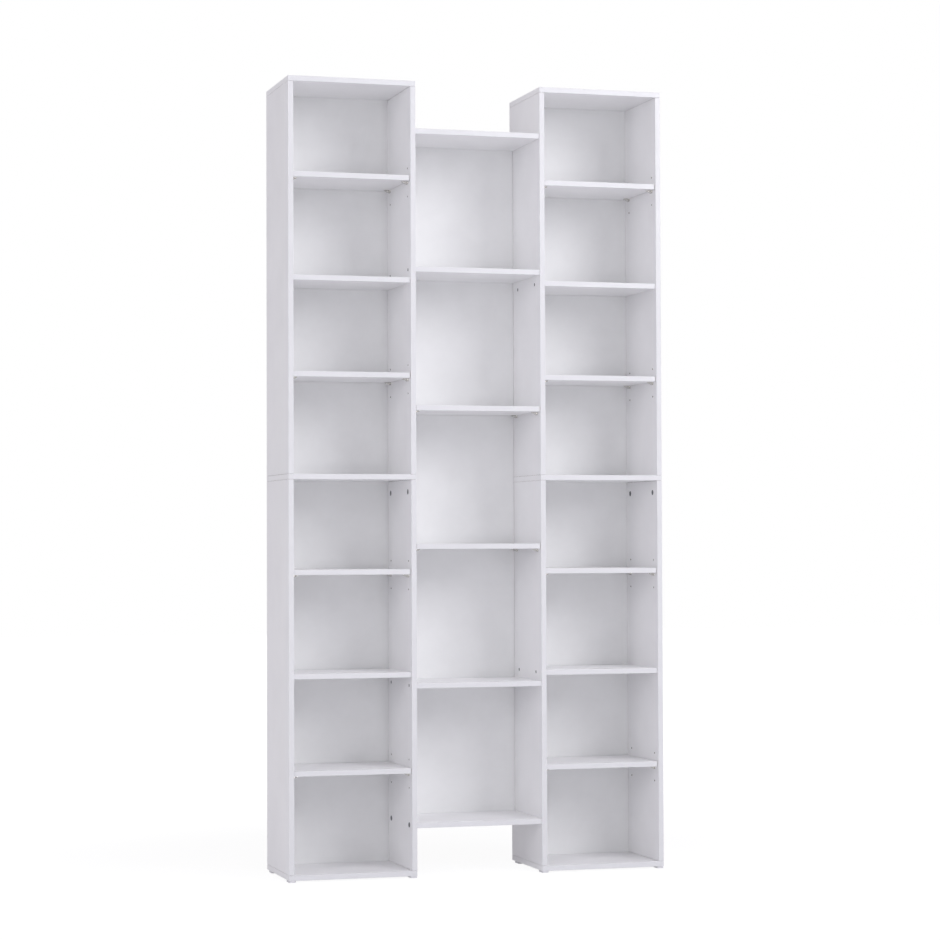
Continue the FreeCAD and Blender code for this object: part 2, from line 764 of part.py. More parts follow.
class Centre:
    """The stack of boards that hangs between the towers, with its backs and fixings."""

    def __init__(self, towers):
        self.towers = towers
        self.backs = {
            "upper_back": ("shelf_1", "top_panel"),
            "middle_back": ("shelf_4", "shelf_1"),
            "lower_back": ("bottom_panel", "shelf_4"),
        }

    def both(self, fixings, *names):
        """The places of one kind of fixing in both towers."""
        return [place for tower in self.towers for place in fixings(tower, *names)]

    def nail_level(self, board, back):
        """The height of a back's nails on one board: half a board each where two backs meet."""
        bottom, top = self.backs[back]
        meets = board in CENTRE_SCREWED
        sign = "+" if board == bottom else "-"
        return f"{CENTRE_LEVELS[board]} {sign} nail_offset" if meets else CENTRE_LEVELS[board]

    def nails(self, back, board):
        """Nails of one back into one board."""
        z = self.nail_level(board, back)
        xs = ("-half_bay + nail_inset", "half_bay - nail_inset")
        return [Place(x, "centre_rear + back_thickness", z, "front") for x in xs]

    def build_boards(self):
        """The six boards: two hang on bolts and cams, two on screws and two lie loose on pins."""
        along = {
            "top_panel": (bore_bit, self.both(Tower.centre_cam_bolts)),
            "bottom_panel": (link_bit, self.both(Tower.link_bolts)),
        }
        across = {
            "top_panel": (cam_bit, self.both(Tower.centre_cam_discs)),
            "bottom_panel": (nut_bit, self.both(Tower.barrel_nuts)),
        }
        for board in CENTRE_SCREWED:
            along[board] = (screw_bit, self.both(Tower.centre_screws, board))
        for board in CENTRE_BOARDS:
            gap = "shelf_end_gap" if board in CENTRE_LOOSE else "0"
            rear_gap = "shelf_rear_gap" if board in CENTRE_LOOSE else "0"
            low = (f"-half_bay + {gap}", "centre_front", f"{CENTRE_LEVELS[board]} - board / 2")
            span = (f"bay_width - 2 * {gap}", f"centre_depth - {rear_gap}", "board")
            node = f"centre_{board}"
            blank = add_box(f"{node}_blank", low, span)
            backs = [back for back, boards in self.backs.items() if board in boards]
            nails = [place for back in backs for place in self.nails(back, board)]
            passes = []
            if board in along:
                passes.append(drilled(node, [along[board], (nail_bit, nails)]))
            if board in across:
                passes.append(drilled(node, [across[board]]))
            machined(node, blank, passes)

    def build_backs(self):
        """Three hardboard sheets on the rear edges, which meet behind the screwed shelves."""
        for back, (bottom, top) in self.backs.items():
            low_edge = "sheet_seam" if bottom in CENTRE_SCREWED else "sheet_edge - board / 2"
            top_edge = "sheet_seam" if top in CENTRE_SCREWED else "sheet_edge - board / 2"
            low_z = f"{CENTRE_LEVELS[bottom]} + {low_edge}"
            low = ("-half_bay + sheet_edge", "centre_rear", low_z)
            height = f"{CENTRE_LEVELS[top]} - ({top_edge}) - ({low_z})"
            span = ("bay_width - 2 * sheet_edge", "back_thickness", height)
            sheet = add_box(f"centre_{back}_sheet", low, span)
            nails = self.nails(back, bottom) + self.nails(back, top)
            machined(f"centre_{back}", sheet, [drilled(f"centre_{back}", [(nail_bit, nails)])])

    def build_fasteners(self):
        """The fixings of the stack, one group for each kind."""
        nails = []
        for back, boards in self.backs.items():
            nails += [place for board in boards for place in self.nails(back, board)]
        groups = {
            "shelf_pins": (shelf_pin, self.both(Tower.centre_pins)),
            "cam_discs": (cam_disc, self.both(Tower.centre_cam_discs)),
            "cam_bolts": (cam_bolt, self.both(Tower.centre_cam_bolts)),
            "link_bolts": (link_bolt, self.both(Tower.link_bolts)),
            "barrel_nuts": (barrel_nut, self.both(Tower.barrel_nuts)),
            "back_nails": (nail, nails),
        }
        for name, (piece, places) in groups.items():
            keep(copies(f"centre_{name}_group", piece, places), f"centre_{name}")

    def build(self):
        """All the pieces of the stack."""
        self.build_boards()
        self.build_backs()
        self.build_fasteners()


def check():
    """Stop if any object failed, a cut removed nothing, or a sub-part isn't a set of sound solids."""
    for item in doc.Objects:
        if {"Invalid", "Error"} & set(item.State):
            raise RuntimeError(f"{item.Label} failed: {item.State}")
        if item.isDerivedFrom("PartDesign::Pocket"):
            whole = item.BaseFeature
        elif item.isDerivedFrom("Part::Cut"):
            whole = item.Base
        else:
            continue
        if item.Shape.Volume >= whole.Shape.Volume:
            raise RuntimeError(f"{item.Label} cuts nothing")
    for item in subparts:
        if item.Shape.isNull() or not item.Shape.isValid() or not item.Shape.Solids:
            raise RuntimeError(f"{item.Label} isn't a sound solid")


towers = [Tower(side) for side in TOWERS]
for tower in towers:
    tower.build()
Centre(towers).build()
doc.recompute()
check()

os.makedirs("parts", exist_ok=True)
for item in subparts:
    item.Shape.exportStep(os.path.join("parts", f"{item.Label}.step"))
print(f"{len(subparts)} sub-parts, {sum(len(item.Shape.Solids) for item in subparts)} solids")
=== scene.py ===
import logging
import math
from contextlib import contextmanager
from dataclasses import dataclass, field, replace
from enum import Enum, IntEnum, StrEnum
from typing import Callable, Iterator

import bpy
from mathutils import Matrix, Vector


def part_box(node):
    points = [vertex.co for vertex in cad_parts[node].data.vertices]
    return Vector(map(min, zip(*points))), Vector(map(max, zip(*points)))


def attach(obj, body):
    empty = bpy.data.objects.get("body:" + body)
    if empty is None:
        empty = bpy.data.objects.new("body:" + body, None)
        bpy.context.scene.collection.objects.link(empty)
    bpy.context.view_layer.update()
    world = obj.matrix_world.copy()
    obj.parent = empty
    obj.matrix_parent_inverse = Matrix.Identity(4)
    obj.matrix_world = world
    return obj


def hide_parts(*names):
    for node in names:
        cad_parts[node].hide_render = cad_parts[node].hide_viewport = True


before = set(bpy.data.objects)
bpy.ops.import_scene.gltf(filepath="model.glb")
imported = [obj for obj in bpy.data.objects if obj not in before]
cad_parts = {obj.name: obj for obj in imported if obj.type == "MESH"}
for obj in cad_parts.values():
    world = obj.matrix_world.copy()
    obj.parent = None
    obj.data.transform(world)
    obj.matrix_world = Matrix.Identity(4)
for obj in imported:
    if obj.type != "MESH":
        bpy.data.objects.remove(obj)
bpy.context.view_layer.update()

# A white bookshelf: two towers of coated chipboard with a stack of shelves hung between them.
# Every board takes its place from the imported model's box of the same name. Metres, +Z up, front to -Y.

MM = 0.001
LOG = logging.getLogger("bookshelf")

Piece = bpy.types.Object
Tree = bpy.types.NodeTree
Socket = bpy.types.NodeSocket
Point = tuple[float, float, float]
Outline = list[tuple[float, float]]
Test = Callable[[Vector, Vector], bool]

# The body that everything but the loose shelves is fixed to.
CARCASS = "carcass"
# The cosine past which a face or an edge counts as square to an axis.
SQUARE = 0.99
# The angle in degrees past which an edge stays crisp.
CRISP = 35
# The colour sockets of a mix node.
MIX_FIRST = 6
MIX_SECOND = 7
MIX_RESULT = 2


class Pick(Enum):
    """What a selection in edit mode holds."""

    POINTS = (True, False, False)
    EDGES = (False, True, False)
    FACES = (False, False, True)


class How(Enum):
    """How a tool changes a piece."""

    CUT = "DIFFERENCE"
    FUSE = "UNION"


class Fastener(Enum):
    """The small pieces that are modelled once and copied."""

    PIN = "pin"
    SCREW = "screw"
    CAM = "cam"
    LINK_BOLT = "link_bolt"
    BARREL_NUT = "barrel_nut"
    NAIL = "nail"
    FOOT = "foot"


class Bit(Enum):
    """The bits that drill the fasteners' holes."""

    PIN = "pin_bit"
    SCREW = "screw_bit"
    CAM = "cam_bit"
    LINK_BOLT = "link_bit"
    BARREL_NUT = "nut_bit"
    NAIL = "nail_bit"


class Unit(StrEnum):
    """The two halves of a tower, as the nodes spell them."""

    UPPER = "upper"
    LOWER = "lower"


class Wall(StrEnum):
    """The sides of a tower, next to the centre stack or away from it."""

    INNER = "inner"
    OUTER = "outer"


class Panel(StrEnum):
    """The boards of a tower that cover the ends of its sides."""

    TOP = "top"
    MID = "mid"
    BOTTOM = "bottom"


class Way(Enum):
    """Where a fastener is driven, and where its own +X then points."""

    UP = ((0, 0, 1), (1, 0, 0))
    DOWN = ((0, 0, -1), (1, 0, 0))
    DOWN_MIRRORED = ((0, 0, -1), (-1, 0, 0))
    RIGHT = ((1, 0, 0), (0, 0, 1))
    LEFT = ((-1, 0, 0), (0, 0, 1))
    FRONT = ((0, -1, 0), (0, 0, 1))

    def turn(self) -> Matrix:
        """The turn that takes a fastener's own axes there."""
        driven, across = (Vector(axis) for axis in self.value)
        return Matrix((across, driven.cross(across), driven)).transposed().to_4x4()


class Side(Enum):
    """One of the two towers, with the sign of its X."""

    LEFT = -1
    RIGHT = 1

    @property
    def word(self) -> str:
        """The side's name as the nodes spell it."""
        return self.name.lower()

    @property
    def outward(self) -> Way:
        """Away from the middle of the bookshelf."""
        return Way.RIGHT if self is Side.RIGHT else Way.LEFT

    @property
    def inward(self) -> Way:
        """Towards the middle of the bookshelf."""
        return Way.LEFT if self is Side.RIGHT else Way.RIGHT


@dataclass(frozen=True)
class Place:
    """Where a fastener sits and which way it is driven."""

    x: float
    y: float
    z: float
    way: Way

    def matrix(self) -> Matrix:
        """The move from a fastener's own axes to its place."""
        return Matrix.Translation((self.x, self.y, self.z)) @ self.way.turn()


Drilling = tuple[Bit, list[Place]]


# Finishes


def linear(colour: str) -> tuple[float, float, float, float]:
    """Turn an sRGB hex colour to linear light.

    Args:
        colour: Six hex digits, red first.

    Returns:
        Red, green, blue and alpha for a shader socket.
    """
    shares = [int(colour[start:start + 2], 16) / 255 for start in (0, 2, 4)]
    # The sRGB curve: a straight foot, and a power above it.
    red, green, blue = (v / 12.92 if v <= 0.04045 else ((v + 0.055) / 1.055) ** 2.4 for v in shares)
    return red, green, blue, 1.0


def add_node(tree: Tree, kind: str, values: dict, links: dict) -> bpy.types.Node:
    """Add a shader node with its settings and links.

    Args:
        tree: The tree that gets the node.
        kind: The node's type.
        values: Values of its properties, by name, and of its sockets, by number or name.
        links: The outputs that feed its sockets, by the socket's number or name.

    Returns:
        The new node.
    """
    item = tree.nodes.new(kind)
    for key, value in values.items():
        if isinstance(key, int) or key in item.inputs:
            item.inputs[key].default_value = value
        else:
            setattr(item, key, value)
    for key, output in links.items():
        tree.links.new(output, item.inputs[key])
    return item


# How the finishes' noise is drawn: its finer layers, and the part of its range that is stretched.
PATCH_DETAIL = 5.0
PATCH_ROUGHNESS = 0.6
PATCH_RANGE = (0.35, 0.65)
SHEEN_DETAIL = 4.0
SHEEN_SCALE = 0.7
SHEEN_RANGE = (0.3, 0.7)
RELIEF_DETAIL = 3.0


@dataclass(frozen=True)
class Finish:
    """A surface whose colour, sheen and relief vary a little over it.

    Grain sizes are real lengths. The relief's grain is drawn coarser than the real one where that
    would be too fine to show.
    """

    name: str
    colour: str
    second_colour: str
    patch: float
    patch_share: float
    roughness: tuple[float, float]
    relief_grain: float
    relief_height: float
    relief_strength: float
    metallic: float = 0.0
    stretch: Point = (1.0, 1.0, 1.0)

    def material(self) -> bpy.types.Material:
        """Make the finish's material once, and find it again after that.

        Returns:
            The material.
        """
        made = bpy.data.materials.get(self.name)
        if made:
            return made
        made = bpy.data.materials.new(self.name)
        made.use_nodes = True
        made.node_tree.nodes.clear()
        self.dress(made.node_tree)
        return made

    def dress(self, tree: Tree) -> None:
        """Fill the material's node tree.

        Args:
            tree: The empty tree.
        """
        coordinates = add_node(tree, "ShaderNodeTexCoord", {}, {})
        mapping = add_node(
            tree, "ShaderNodeMapping", {"Scale": self.stretch}, {"Vector": coordinates.outputs["Object"]}
        )
        place = mapping.outputs[0]
        colour = add_node(
            tree, "ShaderNodeMix",
            {
                "data_type": "RGBA",
                MIX_FIRST: linear(self.colour),
                MIX_SECOND: linear(self.second_colour),
            },
            {0: self.second_share(tree, place)},
        )
        sheen = add_node(
            tree, "ShaderNodeTexNoise", {"Scale": SHEEN_SCALE / self.patch, "Detail": SHEEN_DETAIL},
            {"Vector": place},
        )
        low, high = SHEEN_RANGE
        smooth_end, rough_end = self.roughness
        roughness = add_node(
            tree, "ShaderNodeMapRange",
            {"From Min": low, "From Max": high, "To Min": smooth_end, "To Max": rough_end},
            {"Value": sheen.outputs["Fac"]},
        )
        grain = add_node(
            tree, "ShaderNodeTexNoise", {"Scale": 1 / self.relief_grain, "Detail": RELIEF_DETAIL},
            {"Vector": place},
        )
        bump = add_node(
            tree, "ShaderNodeBump", {"Strength": self.relief_strength, "Distance": self.relief_height},
            {"Height": grain.outputs["Fac"]},
        )
        shader = add_node(
            tree, "ShaderNodeBsdfPrincipled", {"Metallic": self.metallic},
            {
                "Base Color": colour.outputs[MIX_RESULT],
                "Roughness": roughness.outputs[0],
                "Normal": bump.outputs[0],
            },
        )
        add_node(tree, "ShaderNodeOutputMaterial", {}, {"Surface": shader.outputs[0]})

    def second_share(self, tree: Tree, place: Socket) -> Socket:
        """Where the second colour shows: in soft patches.

        Args:
            tree: The material's tree.
            place: The coordinates.

        Returns:
            The share's output.
        """
        patches = add_node(
            tree, "ShaderNodeTexNoise",
            {"Scale": 1 / self.patch, "Detail": PATCH_DETAIL, "Roughness": PATCH_ROUGHNESS},
            {"Vector": place},
        )
        low, high = PATCH_RANGE
        share = add_node(
            tree, "ShaderNodeMapRange",
            {"From Min": low, "From Max": high, "To Min": 0.0, "To Max": self.patch_share},
            {"Value": patches.outputs["Fac"]},
        )
        return share.outputs[0]


@dataclass(frozen=True)
class ChippedFinish(Finish):
    """Bare chipboard: pressed flakes of several browns."""

    def second_share(self, tree: Tree, place: Socket) -> Socket:
        """Where the second colour shows: in each flake to its own degree.

        Args:
            tree: The material's tree.
            place: The coordinates.

        Returns:
            The share's output.
        """
        flakes = add_node(
            tree, "ShaderNodeTexVoronoi", {"Scale": 1 / self.patch, "Randomness": 1.0}, {"Vector": place}
        )
        tone = add_node(tree, "ShaderNodeSeparateColor", {}, {"Color": flakes.outputs["Color"]})
        return tone.outputs[0]


# Melamine on chipboard, pressed under heat: an even, faintly lavender white with a pearly satin skin.
# The pearl is about 0.3 mm and is drawn at 2 mm.
MELAMINE = Finish(
    "pearl_white_melamine", "F4F4F5", "EFEFF0", patch=160 * MM, patch_share=0.8, roughness=(0.38, 0.48),
    relief_grain=2.0 * MM, relief_height=0.05 * MM, relief_strength=0.25,
)
# ABS edge band, ironed on: a white that is a little greyer and smoother than the boards.
EDGE_BAND = Finish(
    "white_abs_edge_band", "DBDCDE", "D7D8DA", patch=60 * MM, patch_share=0.7, roughness=(0.30, 0.40),
    relief_grain=1.5 * MM, relief_height=0.03 * MM, relief_strength=0.2,
)
# Chipboard in holes, grooves and hairlines: brown flakes of 1 to 3 mm, darkened as painted shade for
# these recesses.
CHIPBOARD_WITH_PAINTED_SHADE = ChippedFinish(
    "drilled_chipboard", "3A2C1F", "735A3C", patch=2.2 * MM, patch_share=1.0, roughness=(0.75, 0.9),
    relief_grain=1.2 * MM, relief_height=0.3 * MM, relief_strength=0.6,
)
# The same chipboard, sawn, in its own colour without painted shade: paler flakes on the edges that have
# no band.
SAWN_CHIPBOARD = replace(
    CHIPBOARD_WITH_PAINTED_SHADE, name="sawn_chipboard", colour="9A7D58", second_colour="C6AB84"
)
# Painted hardboard face: white and matt, with the faint cloud of a rolled coat.
PAINTED_HARDBOARD = Finish(
    "white_painted_hardboard", "EFF0F0", "EAEBEB", patch=90 * MM, patch_share=0.8, roughness=(0.5, 0.6),
    relief_grain=2.5 * MM, relief_height=0.05 * MM, relief_strength=0.2,
)
# The same hardboard's bare rear: pressed wood fibre, brown, with darker specks.
BARE_HARDBOARD = Finish(
    "bare_brown_hardboard", "A07C55", "7C5C3B", patch=6 * MM, patch_share=0.75, roughness=(0.6, 0.75),
    relief_grain=0.9 * MM, relief_height=0.15 * MM, relief_strength=0.4,
)
# Nickel plate on steel, barrel polished: a warm mirror that is slightly clouded.
NICKEL = Finish(
    "clouded_nickel_plate", "DEDCD9", "C2BFBB", patch=3 * MM, patch_share=0.6, roughness=(0.12, 0.28),
    relief_grain=0.5 * MM, relief_height=0.02 * MM, relief_strength=0.15, metallic=1.0,
)
# Zinc plate on steel, blue passivated: bluish and a little duller than nickel.
ZINC_PLATE = Finish(
    "blue_zinc_plate", "C3C7CB", "A5A9AE", patch=2 * MM, patch_share=0.6, roughness=(0.25, 0.4),
    relief_grain=0.4 * MM, relief_height=0.02 * MM, relief_strength=0.2, metallic=1.0,
)
# Zinc plate on steel, black passivated: the dark grey of the bolts and shelf screws, with a dull gleam.
DARK_ZINC_PLATE = replace(
    ZINC_PLATE, name="black_zinc_plate", colour="7A7B7F", second_colour="5C5D61", roughness=(0.35, 0.5)
)
# Die-cast zinc, tumbled: dull grey with the mould's fine grit.
CAST_ZINC = Finish(
    "tumbled_cast_zinc", "77797D", "55575B", patch=1.5 * MM, patch_share=0.7, roughness=(0.4, 0.55),
    relief_grain=0.35 * MM, relief_height=0.05 * MM, relief_strength=0.4, metallic=1.0,
)
# Beech, turned: pink-brown with flecks drawn out along the dowel.
BEECH = Finish(
    "turned_beech", "D2AE82", "B88C5E", patch=1.2 * MM, patch_share=0.8, roughness=(0.5, 0.65),
    relief_grain=0.6 * MM, relief_height=0.05 * MM, relief_strength=0.3, stretch=(0.1, 1.0, 1.0),
)
# Moulded polypropylene: off-white with a fine spark-eroded grain.
FOOT_PLASTIC = Finish(
    "moulded_white_polypropylene", "D9D9DC", "CFCFD3", patch=8 * MM, patch_share=0.6,
    roughness=(0.45, 0.55), relief_grain=0.5 * MM, relief_height=0.04 * MM, relief_strength=0.3,
)


# Modelling steps


def select_only(*pieces: Piece) -> None:
    """Select these pieces and nothing else, and make the first one active.

    Args:
        *pieces: The pieces, or none to clear the selection.
    """
    bpy.ops.object.select_all(action="DESELECT")
    for piece in pieces:
        piece.select_set(True)
    bpy.context.view_layer.objects.active = pieces[0] if pieces else None


@contextmanager
def picked(piece: Piece, kind: Pick, test: Test) -> Iterator[None]:
    """Hold some of a mesh selected in edit mode.

    Args:
        piece: The piece.
        kind: Points, edges or faces.
        test: Says from an item's middle, and its normal or direction, whether it is selected.

    Yields:
        Nothing, while edit mode lasts.
    """
    select_only(piece)
    mesh = piece.data
    for items in (mesh.vertices, mesh.edges, mesh.polygons):
        items.foreach_set("select", [False] * len(items))
    if kind is Pick.POINTS:
        for item in mesh.vertices:
            item.select = test(item.co, item.normal)
    elif kind is Pick.EDGES:
        for item in mesh.edges:
            start, end = (mesh.vertices[index].co for index in item.vertices)
            item.select = test((start + end) / 2, (end - start).normalized())
    else:
        for item in mesh.polygons:
            item.select = test(item.center, item.normal)
    bpy.context.tool_settings.mesh_select_mode = kind.value
    bpy.ops.object.mode_set(mode="EDIT")
    yield
    bpy.ops.object.mode_set(mode="OBJECT")


def anything(middle: Vector, direction: Vector) -> bool:
    """Select all of a mesh."""
    return True


def add_block(name: str, low: Point, high: Point) -> Piece:
    """Start a piece as a block.

    Args:
        name: The piece's name.
        low: Its lowest corner.
        high: Its highest corner.

    Returns:
        The block, with its place in its mesh.
    """
    select_only()
    span = Vector(high) - Vector(low)
    bpy.ops.mesh.primitive_cube_add(size=1, location=Vector(low) + span / 2, scale=span)
    piece = bpy.context.object
    piece.name = name
    bpy.ops.object.transform_apply(location=True, rotation=True, scale=True)
    return piece


def add_turned(name: str, outline: Outline, sides: int) -> Piece:
    """Turn a piece about its own Z.

    Args:
        name: The piece's name.
        outline: Radius and height of each step, from one end to the other.
        sides: How many sides its circles have.

    Returns:
        The closed piece.
    """
    select_only()
    radius, height = outline[0]
    bpy.ops.mesh.primitive_circle_add(
        vertices=sides, radius=radius, fill_type="NGON", location=(0, 0, height)
    )
    piece = bpy.context.object
    piece.name = name
    bpy.ops.object.transform_apply(location=True, rotation=True, scale=True)
    with picked(piece, Pick.FACES, anything):
        for next_radius, next_height in outline[1:]:
            step = (0, 0, next_height - height)
            bpy.ops.mesh.extrude_region_move(TRANSFORM_OT_translate={"value": step})
            share = next_radius / radius
            bpy.ops.transform.resize(value=(share, share, 1), center_override=(0, 0, next_height))
            radius, height = next_radius, next_height
        bpy.ops.mesh.select_all(action="SELECT")
        bpy.ops.mesh.normals_make_consistent(inside=False)
    return piece


def soften(piece: Piece, width: float, segments: int, test: Test = anything) -> None:
    """Round edges of a piece.

    Args:
        piece: The piece.
        width: The rounding's width.
        segments: How many faces it has.
        test: Which edges.
    """
    with picked(piece, Pick.EDGES, test):
        bpy.ops.mesh.bevel(offset=width, segments=segments, affect="EDGES")


def join(name: str, pieces: list[Piece]) -> Piece:
    """Join pieces into one mesh.

    Args:
        name: The joined piece's name.
        pieces: Two or more pieces.

    Returns:
        The joined piece.
    """
    select_only(*pieces)
    bpy.ops.object.join()
    pieces[0].name = name
    return pieces[0]


def copies(name: str, master: Piece, places: list[Place]) -> Piece:
    """Copy a piece to all its places.

    Args:
        name: The name of the set.
        master: The piece, about its own axes.
        places: Where the copies go.

    Returns:
        The copies, as one piece.
    """
    pieces = []
    for place in places:
        piece = master.copy()
        piece.data = master.data.copy()
        piece.data.transform(place.matrix())
        bpy.context.collection.objects.link(piece)
        pieces.append(piece)
    return join(name, pieces)


def combine(piece: Piece, tool: Piece, how: How) -> None:
    """Cut a tool out of a piece or fuse it on, and throw the tool away.

    Args:
        piece: The piece.
        tool: What is taken out of it or added to it.
        how: Which of the two.
    """
    select_only(piece)
    change = piece.modifiers.new("change", "BOOLEAN")
    change.operation = how.value
    change.solver = "EXACT"
    change.object = tool
    bpy.ops.object.modifier_apply(modifier=change.name)
    bpy.data.objects.remove(tool, do_unlink=True)


def smooth(piece: Piece) -> None:
    """Shade a piece's round faces smooth and keep its edges crisp."""
    select_only(piece)
    bpy.ops.object.shade_smooth_by_angle(angle=math.radians(CRISP))


def hand_over(piece: Piece, node: str, body: str) -> None:
    """Put a finished piece in the place of a node of the model.

    Args:
        piece: The piece.
        node: The node that it stands for.
        body: The body that it moves with.
    """
    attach(piece, body)
    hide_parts(node)
    LOG.info("%s: %d faces, on %s", piece.name, len(piece.data.polygons), body)


def dress_node(node: str, finish: Finish) -> None:
    """Give a node of the model a finish.

    Args:
        node: The node.
        finish: Its finish.
    """
    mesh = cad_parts[node].data
    mesh.materials.clear()
    mesh.materials.append(finish.material())
    LOG.info("%s: the model's own solids", node)


def middle_height(node: str) -> float:
    """The middle height of a node."""
    low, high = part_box(node)
    return (low[2] + high[2]) / 2


# Fasteners


@dataclass(frozen=True)
class Driven:
    """The outline of a fastener that is driven: a round head with its crown, a shank and a point.

    Each step of the crown has its distance in from the rim and its height. The surface that the
    fastener goes into is at height 0.
    """

    name: str
    head: float
    crown: tuple[tuple[float, float], ...]
    diameter: float
    neck: float
    length: float
    point: float
    tip: float

    def outline(self) -> Outline:
        """Trace the fastener from its head to its point.

        Returns:
            Radius and height of each step.
        """
        rim = self.head / 2
        shank = self.diameter / 2
        crown = [(rim - inset, height) for inset, height in self.crown]
        return crown + [(shank, self.neck), (shank, self.length - self.point), (self.tip, self.length)]

    def bit_outline(self, clearance: float) -> Outline:
        """Trace the bit that drills and countersinks for it.

        Args:
            clearance: How much wider and deeper its hole is.

        Returns:
            Radius and height of each step, from a little outside the surface.
        """
        rim = self.head / 2 + clearance
        shank = self.diameter / 2 + clearance
        return [(rim, -MM), (rim, 0), (shank, self.neck), (shank, self.length + clearance)]


# A countersunk chipboard screw, a connecting bolt whose flat head lies on the surface, and a panel nail
# whose small round head is just proud of the sheet.
SCREW = Driven(
    "screw", head=9 * MM, crown=((0.3 * MM, 0.15 * MM), (0.0, 0.4 * MM)), diameter=4.5 * MM,
    neck=2.5 * MM, length=50 * MM, point=6 * MM, tip=0.3 * MM,
)
LINK_BOLT = Driven(
    "link_bolt", head=14 * MM,
    crown=(
        (0.8 * MM, -1.5 * MM),
        (0.24 * MM, -1.26 * MM),
        (0.0, -0.7 * MM),
        (0.0, -0.1 * MM),
        (0.1 * MM, 0.0),
    ),
    diameter=6 * MM, neck=0.0, length=58 * MM, point=1 * MM, tip=2.2 * MM,
)
NAIL = Driven(
    "nail", head=4.5 * MM,
    crown=((0.9 * MM, -0.45 * MM), (0.2 * MM, -0.3 * MM), (0.0, -0.05 * MM), (0.0, 0.05 * MM)),
    diameter=1.8 * MM, neck=0.8 * MM, length=18 * MM, point=2 * MM, tip=0.2 * MM,
)


